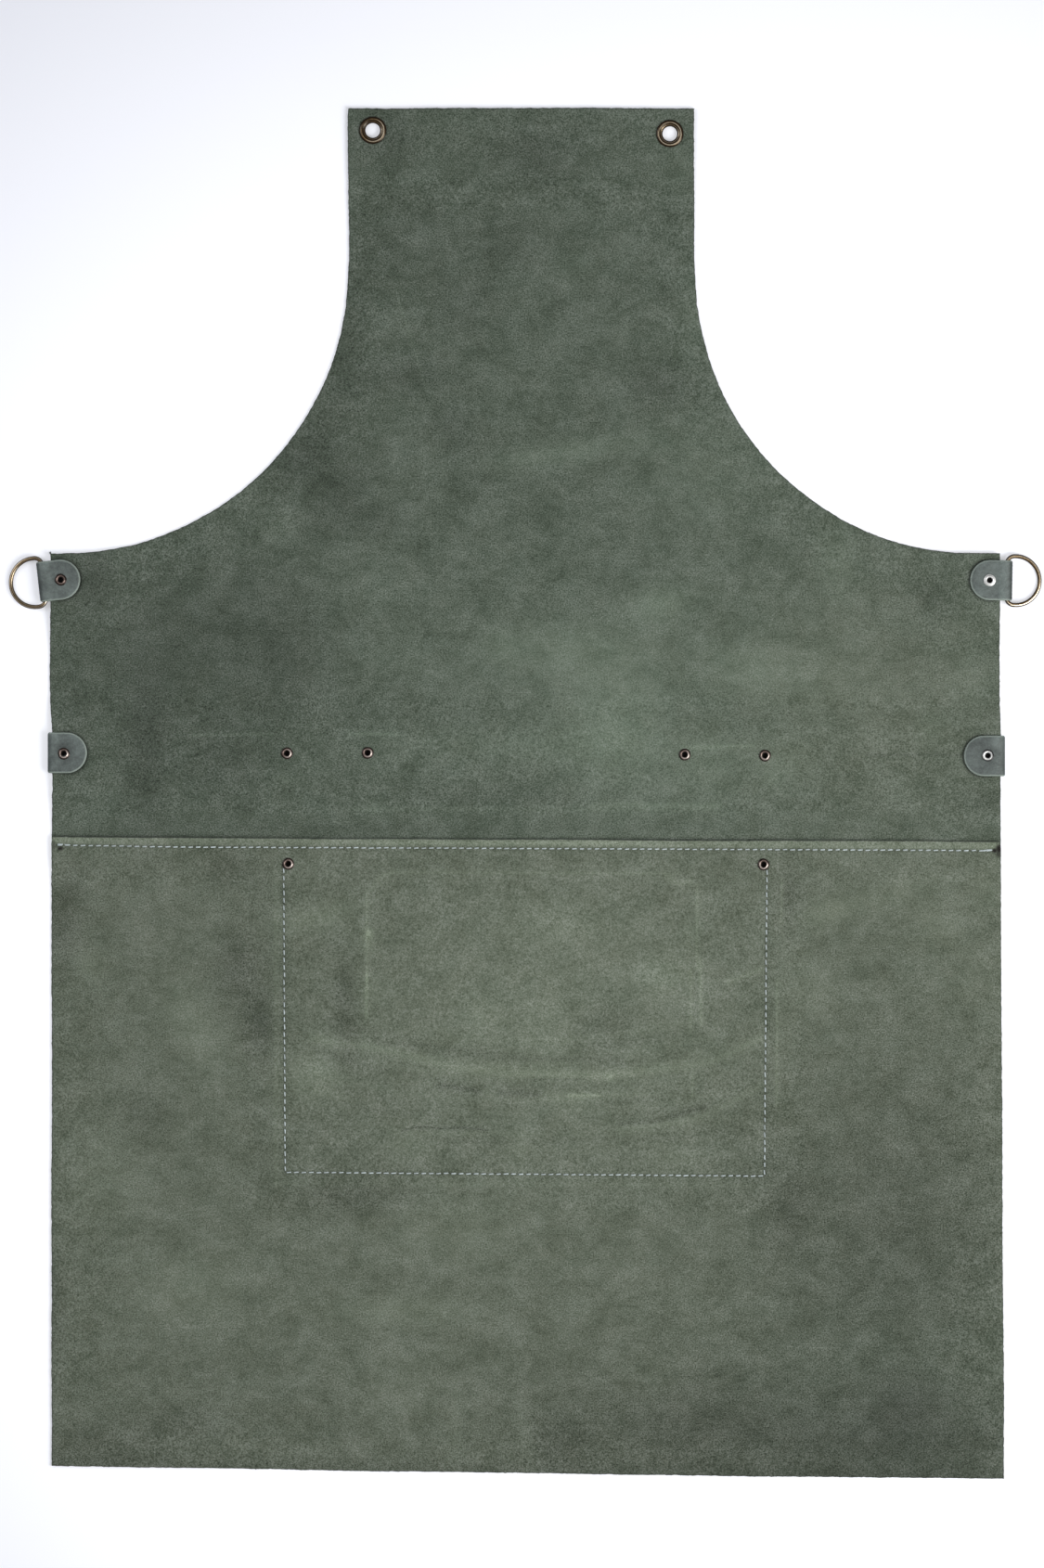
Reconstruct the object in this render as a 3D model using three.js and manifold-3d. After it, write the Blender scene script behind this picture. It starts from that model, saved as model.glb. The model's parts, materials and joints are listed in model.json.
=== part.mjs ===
// A leather grill apron lying face down on a flat surface, with its rough back up.
// Millimetres. +Z is up, +Y points to the top of the bib and +X to the right, seen from above.

import * as THREE from 'three';
import { mergeVertices } from 'three/addons/utils/BufferGeometryUtils.js';
import Module from 'manifold-3d';

const wasm = await Module();
wasm.setup();

// Leather, and the small space that two layers keep
const BODY_LEATHER = 1.8;
const STRAP_LEATHER = 2;
const LAYER_GAP = 0.25;

// Plan of the body: the bib, its two armholes and the sides
const BIB_TOP = 432.9;
const BIB_LEFT = -111.8;
const BIB_RIGHT = 106.9;
const ARMHOLE_TOP = 331.8;
const ARMHOLE_HEIGHT = 180;
const ARMHOLE_REACH_LEFT = 180;
const ARMHOLE_REACH_RIGHT = 176.5;
const SHOULDER = ARMHOLE_TOP - ARMHOLE_HEIGHT;
const SIDES = [
  { y: SHOULDER, left: -300, right: 299.8 },
  { y: 60, left: -300, right: 299.6 },
  { y: 38, left: -298.7, right: 300.2 },
  { y: 10, left: -298.7, right: 300.2 },
  { y: -28, left: -299, right: 300.3 },
  { y: -434, left: -299.2, right: 302.4 },
];

// The seam, where the skirt laps over the bib panel, and the hem, both a little askew
const SEAM_MIDDLE = -28.6;
const SEAM_SLOPE = -0.005;
const SEAM_LAP = 8;
const HEM_MIDDLE = -429.2;
const HEM_SLOPE = -0.0136;
const HEM_BOW = 0.4;

// The pocket on the front
const POCKET = { left: -158.2, right: 158.4, bottom: -246, top: -39.5 };

// The strap across the front, and its folded ends
const STRAP_WIDTH = 25.4;
const STRAP_MIDDLE = 24.6;
const STRAP_SLOPE = -0.0038;
const STRAP_ENDS = { left: -301.5, right: 302.9, leftTip: -276.2, rightTip: 276.4 };
const STRAP_FOLD_DEPTH = 2.2;

// The ring tabs: the place of the ring's bar, the turn of the tab and its size
const RING_TABS = [
  { side: 'left', x: -303.9, y: 133.9, turn: 186.5 },
  { side: 'right', x: 303.9, y: 134.6, turn: -1 },
];
const TAB_WIDTH = 25.4;
const TAB_LENGTH = 27.2;

// The D-rings
const RING_WIRE_RADIUS = 1.35;
const RING_BAR_CLEARANCE = 0.3;
const RING_HALF_HEIGHT = 15.4;
const RING_DEPTH = 21.15;
const RING_CORNER = 2.5;
const RING_DROOP = 8.1;

// The eyelets
const EYELETS = [
  { side: 'left', x: -96.3, y: 418.9 },
  { side: 'right', x: 91.3, y: 416.8 },
];
const EYELET_RADIUS = 8.5;
const EYELET_BORE = 4.9;
const EYELET_BARREL = 5.4;
const EYELET_FRONT = 0.8;
const EYELET_BACK = 1.2;
const EYELET_SHOULDER = 0.7;
const EYELET_LIP = 0.3;

// The rivets: a low cap on the front, a post, and a flange with a rolled collar on the back
const CAP_RADIUS = 4.2;
const CAP_HEIGHT = 1;
const POST_RADIUS = 1.5;
const FLANGE_RADIUS = 3.8;
const FLANGE_HEIGHT = 0.55;
const COLLAR_RADIUS = 2.3;
const COLLAR_HEIGHT = 1.1;
const COLLAR_BORE = 1.15;
const COLLAR_BORE_DEPTH = 2.2;
const HOLE_CLEARANCE = 0.3;
const CAP_FLAT = 0.7;
const CAP_RIM = 0.6;
const FLANGE_TAPER = 0.9;
const STRAP_RIVETS = [
  { name: 'rivet_strap_end_left', x: -291.2, y: 25.4, folded: true },
  { name: 'rivet_strap_1', x: -150.4, y: 25.6, folded: false },
  { name: 'rivet_strap_2', x: -99.5, y: 25.9, folded: false },
  { name: 'rivet_strap_3', x: 100.7, y: 24.8, folded: false },
  { name: 'rivet_strap_4', x: 151.3, y: 24.2, folded: false },
  { name: 'rivet_strap_end_right', x: 291.8, y: 24.2, folded: true },
];
const POCKET_RIVETS = [
  { name: 'rivet_pocket_left', x: -149.6, y: -44.2 },
  { name: 'rivet_pocket_right', x: 150.4, y: -44.6 },
];

// Heights of the body leather's underside over what lies below it
const OVER_CAP = CAP_HEIGHT + LAYER_GAP;
const OVER_STRAP = STRAP_LEATHER + LAYER_GAP;
const OVER_STRAP_RIVET = OVER_CAP + OVER_STRAP;
const OVER_POCKET = BODY_LEATHER + LAYER_GAP;
const OVER_POCKET_RIVET = OVER_CAP + OVER_POCKET;
const OVER_SEAM = BODY_LEATHER + LAYER_GAP;
const OVER_EYELET = EYELET_FRONT + LAYER_GAP;
const BAR_HEIGHT = OVER_STRAP_RIVET + BODY_LEATHER / 2;
const FOLD_HALF = BODY_LEATHER / 2 + LAYER_GAP + STRAP_LEATHER / 2;

// Where the leather is lifted: a flat patch, its height, and how far the slope round it runs out
const STRAP_MARGIN = 1.9;
const STRAP_BAND = {
  bottom: STRAP_MIDDLE - STRAP_WIDTH / 2 - STRAP_MARGIN,
  top: STRAP_MIDDLE + STRAP_WIDTH / 2 + STRAP_MARGIN,
};
const TAB_BAND = { bottom: 118, top: 150 };
const EYELET_BAND = { bottom: 406, top: BIB_TOP };
const RIVET_PATCH = 6;
const WIDE = 320;
const WHOLE_WIDTH = { left: -WIDE, right: WIDE };
const LEFT_END = { left: -WIDE, right: -278 };
const RIGHT_END = { left: 278, right: WIDE };
const REACH = { strap: 18, end: 26, eyelet: 40, strapRivet: 19, seam: 14, pocket: 14, pocketRivet: 20 };
const BIB_LIFTS = [
  { ...WHOLE_WIDTH, ...STRAP_BAND, height: OVER_STRAP, reach: REACH.strap },
  { ...LEFT_END, ...STRAP_BAND, height: OVER_STRAP_RIVET, reach: REACH.end },
  { ...RIGHT_END, ...STRAP_BAND, height: OVER_STRAP_RIVET, reach: REACH.end },
  { ...LEFT_END, ...TAB_BAND, height: OVER_STRAP_RIVET, reach: REACH.end },
  { ...RIGHT_END, ...TAB_BAND, height: OVER_STRAP_RIVET, reach: REACH.end },
  { ...WHOLE_WIDTH, ...EYELET_BAND, height: OVER_EYELET, reach: REACH.eyelet },
  ...STRAP_RIVETS.filter((rivet) => !rivet.folded).map((rivet) => ({
    left: rivet.x - RIVET_PATCH,
    right: rivet.x + RIVET_PATCH,
    ...STRAP_BAND,
    height: OVER_STRAP_RIVET,
    reach: REACH.strapRivet,
  })),
];
const POCKET_MARGIN = 1.3;
const SEAM_MARGIN = 3;
const SEAM_BAND = { bottom: SEAM_MIDDLE - SEAM_LAP - SEAM_MARGIN, top: 0 };
const SKIRT_LIFTS = [
  { ...WHOLE_WIDTH, ...SEAM_BAND, height: OVER_SEAM, reach: REACH.seam },
  {
    left: POCKET.left - POCKET_MARGIN,
    right: POCKET.right + POCKET_MARGIN,
    bottom: POCKET.bottom - POCKET_MARGIN,
    top: POCKET.top,
    height: OVER_POCKET,
    reach: REACH.pocket,
  },
  ...POCKET_RIVETS.map((rivet) => ({
    left: rivet.x - RIVET_PATCH,
    right: rivet.x + RIVET_PATCH,
    bottom: rivet.y - RIVET_PATCH,
    top: rivet.y + RIVET_PATCH,
    height: OVER_POCKET_RIVET,
    reach: REACH.pocketRivet,
  })),
];

// Spacing of the grid lines that carry the draped leather
const CLOSEST_LINES = 2.5;
const WIDEST_LINES = 48;
const ARMHOLE_ANGLES = [84, 76, 66, 55, 44, 33, 22, 11, 0];

// Facets of the round pieces
const RIVET_SIDES = 9;
const EYELET_SIDES = 18;
const RING_STEPS = 40;
const RING_SIDES = 8;
const FOLD_ANGLES = [90, 60, 30, 0, -30, -60, -90];
const ROUND_END_ANGLES = [14, 32, 50, 70, 90];

// Finishes
const SUEDE = { color: 0x5f675b, roughness: 0.95, metalness: 0 };
const SMOOTH_LEATHER = { color: 0x5f6967, roughness: 0.7, metalness: 0 };
const ANTIQUE_BRASS = { color: 0x8f7346, roughness: 0.4, metalness: 1 };
const ANTIQUE_COPPER = { color: 0x5c4536, roughness: 0.45, metalness: 1 };
const NICKEL = { color: 0xb7b8b2, roughness: 0.3, metalness: 1 };

const apron = new THREE.Group();

function addMesh(parent, name, geometry, finish) {
  const mesh = new THREE.Mesh(geometry, new THREE.MeshStandardMaterial(finish));
  mesh.name = name;
  parent.add(mesh);
  return mesh;
}

// Curves of the plan

function between(rows, y, column) {
  const upper = rows.findIndex((row) => row.y <= y);
  if (upper === 0) return rows[0][column];
  const high = rows[upper - 1];
  const low = rows[upper];
  const share = (y - low.y) / (high.y - low.y);
  return THREE.MathUtils.lerp(low[column], high[column], share);
}

function armholeEdge(y, bibEdge, reach) {
  const drop = Math.max(0, (ARMHOLE_TOP - y) / ARMHOLE_HEIGHT);
  return bibEdge + reach * (1 - Math.sqrt(1 - drop * drop));
}

function leftEdge(y) {
  return y > SHOULDER ? armholeEdge(y, BIB_LEFT, -ARMHOLE_REACH_LEFT) : between(SIDES, y, 'left');
}

function rightEdge(y) {
  return y > SHOULDER ? armholeEdge(y, BIB_RIGHT, ARMHOLE_REACH_RIGHT) : between(SIDES, y, 'right');
}

function seamAt(x) {
  return SEAM_MIDDLE + SEAM_SLOPE * x;
}

function hemAt(x) {
  return HEM_MIDDLE + HEM_SLOPE * x + HEM_BOW * (x / SIDES[0].left) ** 2;
}

function strapMiddleAt(x) {
  return STRAP_MIDDLE + STRAP_SLOPE * x;
}

// Height of the underside of a panel, from the patches that lift it
function liftAt(lifts, x, y) {
  let height = 0;
  for (const patch of lifts) {
    const beside = Math.max(patch.left - x, 0, x - patch.right);
    const beyond = Math.max(patch.bottom - y, 0, y - patch.top);
    const share = Math.max(0, 1 - Math.hypot(beside, beyond) / patch.reach);
    height = Math.max(height, patch.height * share);
  }
  return height;
}

// Grid lines from one edge to the other that stop at each patch's border and at the end of its slope
function gridLines(first, last, lifts, low, high) {
  const stops = lifts.flatMap((patch) => [
    patch[low] - patch.reach,
    patch[low],
    patch[high],
    patch[high] + patch.reach,
  ]);
  const inside = stops.filter((stop) => stop > first + CLOSEST_LINES && stop < last - CLOSEST_LINES);
  inside.sort((a, b) => a - b);
  const lines = [first];
  for (const stop of [...inside, last]) {
    const previous = lines[lines.length - 1];
    if (stop - previous < CLOSEST_LINES) continue;
    const parts = Math.ceil((stop - previous) / WIDEST_LINES);
    for (let part = 1; part <= parts; part += 1) {
      lines.push(THREE.MathUtils.lerp(previous, stop, part / parts));
    }
  }
  return lines;
}

// A closed sheet over a grid of points: one face, the face opposite, and the edge between them.
// lowerAt and upperAt give the two faces' points for a column and a row.
function sheetGeometry(columns, rows, lowerAt, upperAt) {
  const positions = [];
  for (const pointAt of [lowerAt, upperAt]) {
    for (let row = 0; row < rows; row += 1) {
      for (let column = 0; column < columns; column += 1) {
        positions.push(...pointAt(column, row).toArray());
      }
    }
  }
  const lower = (column, row) => row * columns + column;
  const upper = (column, row) => columns * rows + lower(column, row);
  const index = [];
  for (let row = 0; row + 1 < rows; row += 1) {
    for (let column = 0; column + 1 < columns; column += 1) {
      index.push(upper(column, row), upper(column + 1, row), upper(column + 1, row + 1));
      index.push(upper(column, row), upper(column + 1, row + 1), upper(column, row + 1));
      index.push(lower(column, row), lower(column + 1, row + 1), lower(column + 1, row));
      index.push(lower(column, row), lower(column, row + 1), lower(column + 1, row + 1));
    }
  }
  const border = [];
  for (let column = 0; column + 1 < columns; column += 1) border.push([column, 0]);
  for (let row = 0; row + 1 < rows; row += 1) border.push([columns - 1, row]);
  for (let column = columns - 1; column > 0; column -= 1) border.push([column, rows - 1]);
  for (let row = rows - 1; row > 0; row -= 1) border.push([0, row]);
  border.forEach((here, step) => {
    const next = border[(step + 1) % border.length];
    index.push(lower(...here), lower(...next), upper(...next));
    index.push(lower(...here), upper(...next), upper(...here));
  });
  const geometry = new THREE.BufferGeometry();
  geometry.setAttribute('position', new THREE.Float32BufferAttribute(positions, 3));
  geometry.setIndex(index);
  return geometry;
}

// Booleans

function toSolid(geometry) {
  const bare = geometry.clone();
  bare.deleteAttribute('normal');
  bare.deleteAttribute('uv');
  const merged = mergeVertices(bare);
  const mesh = new wasm.Mesh({
    numProp: 3,
    vertProperties: new Float32Array(merged.attributes.position.array),
    triVerts: new Uint32Array(merged.index.array),
  });
  return new wasm.Manifold(mesh);
}

function toGeometry(solid) {
  const mesh = solid.getMesh();
  const geometry = new THREE.BufferGeometry();
  geometry.setAttribute('position', new THREE.BufferAttribute(mesh.vertProperties, 3));
  geometry.setIndex(new THREE.BufferAttribute(mesh.triVerts, 1));
  return geometry;
}

// Round holes straight through a piece, each with its place, radius and number of sides
function pierce(geometry, holes) {
  const punchLength = 40;
  let solid = toSolid(geometry);
  for (const hole of holes) {
    const punch = new THREE.CylinderGeometry(hole.radius, hole.radius, punchLength, hole.sides);
    punch.rotateX(Math.PI / 2);
    punch.translate(hole.x, hole.y, 0);
    solid = solid.subtract(toSolid(punch));
  }
  return toGeometry(solid);
}

function rivetHole({ x, y }) {
  return { x, y, radius: POST_RADIUS + HOLE_CLEARANCE, sides: RIVET_SIDES };
}

function eyeletHole({ x, y }) {
  return { x, y, radius: EYELET_BARREL + HOLE_CLEARANCE, sides: EYELET_SIDES };
}

// A panel over its grid lines, lifted over what lies under it
function panelGeometry(columns, rows, planAt, lifts) {
  const lowerAt = (column, row) => {
    const { x, y } = planAt(column, row);
    return new THREE.Vector3(x, y, liftAt(lifts, x, y));
  };
  const upperAt = (column, row) => lowerAt(column, row).add(new THREE.Vector3(0, 0, BODY_LEATHER));
  return sheetGeometry(columns.length, rows.length, lowerAt, upperAt);
}

// Ring tabs, placed first because the panel is pierced where their rivets go

const tabGroups = RING_TABS.map((tab) => {
  const group = new THREE.Group();
  group.position.set(tab.x, tab.y, BAR_HEIGHT);
  group.rotation.z = THREE.MathUtils.degToRad(tab.turn);
  group.updateMatrixWorld();
  apron.add(group);
  return group;
});
const foldOuter = RING_WIRE_RADIUS + RING_BAR_CLEARANCE + STRAP_LEATHER;
const tabTip = foldOuter - TAB_LENGTH;
const tabRivetX = tabTip + TAB_WIDTH / 2;
const tabRivets = tabGroups.map((group, number) => {
  const place = group.localToWorld(new THREE.Vector3(tabRivetX, 0, 0));
  return { name: `rivet_ring_tab_${RING_TABS[number].side}`, x: place.x, y: place.y };
});

// Bib panel

const bibColumns = gridLines(SIDES[0].left, SIDES[0].right, BIB_LIFTS, 'left', 'right');

function bibRows() {
  const waist = gridLines(SEAM_MIDDLE - SEAM_LAP, SHOULDER, BIB_LIFTS, 'bottom', 'top');
  const armhole = ARMHOLE_ANGLES.map((angle) => {
    const drop = Math.sin(THREE.MathUtils.degToRad(angle));
    return ARMHOLE_TOP - ARMHOLE_HEIGHT * drop;
  });
  const bib = gridLines(ARMHOLE_TOP, BIB_TOP, BIB_LIFTS, 'bottom', 'top');
  return [...waist, ...armhole, ...bib.slice(1)];
}

function bibPanel() {
  const rows = bibRows();
  const lastColumn = bibColumns.length - 1;
  const planAt = (column, row) => {
    const y = rows[row];
    const left = leftEdge(y);
    const right = rightEdge(y);
    let x = bibColumns[column];
    if (y > SHOULDER || column === 0 || column === lastColumn) {
      x = THREE.MathUtils.mapLinear(x, bibColumns[0], bibColumns[lastColumn], left, right);
    }
    return { x, y: row === 0 ? seamAt(x) - SEAM_LAP : y };
  };
  const sheet = panelGeometry(bibColumns, rows, planAt, BIB_LIFTS);
  const rivets = [...STRAP_RIVETS, ...tabRivets];
  return pierce(sheet, [...rivets.map(rivetHole), ...EYELETS.map(eyeletHole)]);
}

// Skirt panel and the pocket under it, on the same grid lines

const skirtColumns = gridLines(SIDES[0].left, SIDES[0].right, SKIRT_LIFTS, 'left', 'right');
const skirtRows = gridLines(HEM_MIDDLE, SEAM_MIDDLE, SKIRT_LIFTS, 'bottom', 'top');

function skirtPanel() {
  const lastColumn = skirtColumns.length - 1;
  const lastRow = skirtRows.length - 1;
  const planAt = (column, row) => {
    let y = skirtRows[row];
    let x = skirtColumns[column];
    if (column === 0) x = leftEdge(y);
    if (column === lastColumn) x = rightEdge(y);
    if (row === 0) y = hemAt(x);
    if (row === lastRow) y = seamAt(x);
    return { x, y };
  };
  return pierce(panelGeometry(skirtColumns, skirtRows, planAt, SKIRT_LIFTS), POCKET_RIVETS.map(rivetHole));
}

function frontPocket() {
  const inside = (lines, first, last) => {
    const kept = lines.filter((line) => line > first + POCKET_MARGIN && line < last - POCKET_MARGIN);
    return [first, ...kept, last];
  };
  const columns = inside(skirtColumns, POCKET.left, POCKET.right);
  const rows = inside(skirtRows, POCKET.bottom, POCKET.top);
  const lowerAt = (column, row) => {
    const x = columns[column];
    const y = rows[row];
    const under = liftAt(SKIRT_LIFTS, x, y) - OVER_POCKET;
    return new THREE.Vector3(x, y, Math.max(0, under));
  };
  const upperAt = (column, row) => lowerAt(column, row).add(new THREE.Vector3(0, 0, BODY_LEATHER));
  return pierce(sheetGeometry(columns.length, rows.length, lowerAt, upperAt), POCKET_RIVETS.map(rivetHole));
}

// A folded strip of leather: sections along its middle line, each with its place, the direction that
// its outer face looks in, its half width, and the middle of its width
function stripGeometry(sections) {
  const faceAt = (offset) => (column, row) => {
    const section = sections[column];
    const y = section.middle + (row === 0 ? -1 : 1) * section.half;
    return new THREE.Vector3(section.x + section.outX * offset, y, section.z + section.outZ * offset);
  };
  return sheetGeometry(sections.length, 2, faceAt(-STRAP_LEATHER / 2), faceAt(STRAP_LEATHER / 2));
}

// The half-round end of a strip, from its tip; along is the direction from the tip into the strip
function roundEnd(tip, along, half, height, outZ, middleAt) {
  return ROUND_END_ANGLES.map((angle) => {
    const turn = THREE.MathUtils.degToRad(angle);
    const x = tip + along * half * (1 - Math.cos(turn));
    return { x, z: height, outX: 0, outZ, half: half * Math.sin(turn), middle: middleAt(x) };
  });
}

// A fold of a strip round an edge at the given x, from its upper run to its lower run; side is 1 or -1
function foldRound(x, z, depth, rise, side, half, middle) {
  return FOLD_ANGLES.map((angle) => {
    const turn = THREE.MathUtils.degToRad(angle);
    const outX = side * Math.cos(turn);
    const outZ = Math.sin(turn);
    return { x: x + outX * depth, z: z + outZ * rise, outX, outZ, half, middle };
  });
}

// Tool strap: from its right tip on the back, round the right side, across the front, to the left tip

function toolStrap() {
  const half = STRAP_WIDTH / 2;
  const upperHeight = BAR_HEIGHT + FOLD_HALF;
  const foldInset = STRAP_FOLD_DEPTH + STRAP_LEATHER / 2;
  const rightFold = STRAP_ENDS.right - foldInset;
  const leftFold = STRAP_ENDS.left + foldInset;
  const fold = (x, side) =>
    foldRound(x, BAR_HEIGHT, STRAP_FOLD_DEPTH, FOLD_HALF, side, half, strapMiddleAt(x));
  const run = bibColumns
    .filter((x) => x > leftFold + CLOSEST_LINES && x < rightFold - CLOSEST_LINES)
    .reverse()
    .map((x) => {
      const middle = strapMiddleAt(x);
      const z = liftAt(BIB_LIFTS, x, middle) - OVER_STRAP + STRAP_LEATHER / 2;
      return { x, z, outX: 0, outZ: -1, half, middle };
    });
  const strip = stripGeometry([
    ...roundEnd(STRAP_ENDS.rightTip, 1, half, upperHeight, 1, strapMiddleAt),
    ...fold(rightFold, 1),
    ...run,
    ...fold(leftFold, -1).reverse(),
    ...roundEnd(STRAP_ENDS.leftTip, -1, half, upperHeight, 1, strapMiddleAt).reverse(),
  ]);
  return pierce(strip, STRAP_RIVETS.map(rivetHole));
}

// Ring tab, in its own frame: the ring's bar at the origin, the fold towards +X

function ringTab() {
  const half = TAB_WIDTH / 2;
  const foldRadius = foldOuter - STRAP_LEATHER / 2;
  const flatEnd = -foldRadius;
  const middleAt = () => 0;
  const upperEnd = { x: flatEnd, z: FOLD_HALF, outX: 0, outZ: 1, half, middle: 0 };
  const lowerEnd = { x: flatEnd, z: -FOLD_HALF, outX: 0, outZ: -1, half, middle: 0 };
  const strip = stripGeometry([
    ...roundEnd(tabTip, 1, half, FOLD_HALF, 1, middleAt),
    upperEnd,
    ...foldRound(0, 0, foldRadius, foldRadius, 1, half, 0),
    lowerEnd,
    ...roundEnd(tabTip, 1, half, -FOLD_HALF, -1, middleAt).reverse(),
  ]);
  return pierce(strip, [rivetHole({ x: tabRivetX, y: 0 })]);
}

// D-ring, in the tab's frame: a straight bar on the Y axis and a half-round bow towards +X

class FlatLoop extends THREE.Curve {
  constructor(path) {
    super();
    this.path = path;
  }

  getPoint(share) {
    const point = this.path.getPointAt(share);
    return new THREE.Vector3(point.x, point.y, 0);
  }
}

function dRing() {
  const bowMiddle = RING_DEPTH - RING_HALF_HEIGHT;
  const barHalf = RING_HALF_HEIGHT - RING_CORNER;
  const quarter = Math.PI / 2;
  const path = new THREE.Path();
  path.moveTo(0, barHalf);
  path.lineTo(0, -barHalf);
  path.absarc(RING_CORNER, -barHalf, RING_CORNER, 2 * quarter, 3 * quarter, false);
  path.lineTo(bowMiddle, -RING_HALF_HEIGHT);
  path.absarc(bowMiddle, 0, RING_HALF_HEIGHT, -quarter, quarter, false);
  path.lineTo(RING_CORNER, RING_HALF_HEIGHT);
  path.absarc(RING_CORNER, barHalf, RING_CORNER, quarter, 2 * quarter, false);
  return new THREE.TubeGeometry(new FlatLoop(path), RING_STEPS, RING_WIRE_RADIUS, RING_SIDES, true);
}

// Turned pieces: a profile of radius and height, turned about +Z

function turned(profile, sides) {
  const points = profile.map(([radius, height]) => new THREE.Vector2(radius, height));
  const geometry = new THREE.LatheGeometry(points, sides);
  geometry.rotateX(Math.PI / 2);
  return geometry;
}

function rivet(seat) {
  const flangeTop = seat + FLANGE_HEIGHT;
  const collarTop = seat + COLLAR_HEIGHT;
  return turned(
    [
      [0, 0],
      [CAP_RADIUS * CAP_FLAT, 0],
      [CAP_RADIUS, CAP_HEIGHT * CAP_RIM],
      [CAP_RADIUS, CAP_HEIGHT],
      [POST_RADIUS, CAP_HEIGHT],
      [POST_RADIUS, seat],
      [FLANGE_RADIUS, seat],
      [FLANGE_RADIUS * FLANGE_TAPER, flangeTop],
      [COLLAR_RADIUS, flangeTop],
      [(COLLAR_RADIUS + COLLAR_BORE) / 2, collarTop],
      [COLLAR_BORE, flangeTop],
      [COLLAR_BORE, seat - COLLAR_BORE_DEPTH],
      [0, seat - COLLAR_BORE_DEPTH],
    ],
    RIVET_SIDES,
  );
}

function eyelet() {
  const frontSeat = EYELET_FRONT;
  const backSeat = OVER_EYELET + BODY_LEATHER + LAYER_GAP;
  const backTop = backSeat + EYELET_BACK;
  const crest = (EYELET_RADIUS + EYELET_BORE) / 2;
  const profile = [
    [EYELET_BORE, frontSeat / 2],
    [EYELET_BARREL, 0],
    [EYELET_RADIUS - frontSeat, 0],
    [EYELET_RADIUS, frontSeat],
    [EYELET_BARREL, frontSeat],
    [EYELET_BARREL, backSeat],
    [EYELET_RADIUS, backSeat],
    [EYELET_RADIUS - EYELET_LIP, backSeat + EYELET_BACK * EYELET_SHOULDER],
    [crest, backTop],
    [EYELET_BARREL, backSeat + EYELET_BACK * EYELET_SHOULDER],
    [EYELET_BORE, backSeat + EYELET_LIP],
    [EYELET_BORE, frontSeat / 2],
  ];
  return turned(profile, EYELET_SIDES);
}

function addRivet(name, x, y, seat, finish) {
  addMesh(apron, name, rivet(seat), finish).position.set(x, y, 0);
}

// Assembly

addMesh(apron, 'bib_panel', bibPanel(), SUEDE);
addMesh(apron, 'skirt_panel', skirtPanel(), SUEDE);
addMesh(apron, 'front_pocket', frontPocket(), SMOOTH_LEATHER);
addMesh(apron, 'tool_strap', toolStrap(), SMOOTH_LEATHER);

RING_TABS.forEach((tab, number) => {
  addMesh(tabGroups[number], `ring_tab_${tab.side}`, ringTab(), SMOOTH_LEATHER);
  const ring = addMesh(tabGroups[number], `d_ring_${tab.side}`, dRing(), ANTIQUE_BRASS);
  ring.rotation.y = THREE.MathUtils.degToRad(RING_DROOP);
});

for (const place of EYELETS) {
  addMesh(apron, `eyelet_${place.side}`, eyelet(), ANTIQUE_BRASS).position.set(place.x, place.y, 0);
}

const foldedSeat = BAR_HEIGHT + FOLD_HALF + STRAP_LEATHER / 2 + LAYER_GAP;
const strapSeat = OVER_STRAP_RIVET + BODY_LEATHER + LAYER_GAP;
const pocketSeat = OVER_POCKET_RIVET + BODY_LEATHER + LAYER_GAP;
for (const { name, x, y, folded } of STRAP_RIVETS) {
  const finish = name === 'rivet_strap_end_right' ? NICKEL : ANTIQUE_COPPER;
  addRivet(name, x, y, folded ? foldedSeat : strapSeat, finish);
}
for (const { name, x, y } of tabRivets) {
  const finish = name === 'rivet_ring_tab_right' ? NICKEL : ANTIQUE_COPPER;
  addRivet(name, x, y, foldedSeat, finish);
}
for (const { name, x, y } of POCKET_RIVETS) {
  addRivet(name, x, y, pocketSeat, ANTIQUE_COPPER);
}

export default apron;
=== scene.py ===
"""A leather grill apron lying face down: leather, seams, rings, eyelets and rivets around the solids."""

import json
import math
from collections import namedtuple
from functools import lru_cache

import bpy
import numpy as np
from bpy.props import FloatProperty, FloatVectorProperty, IntProperty, PointerProperty
from bpy.types import Operator, Panel, PropertyGroup
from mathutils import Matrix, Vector
from mathutils.bvhtree import BVHTree
from mathutils.geometry import delaunay_2d_cdt
from mathutils.kdtree import KDTree


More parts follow.
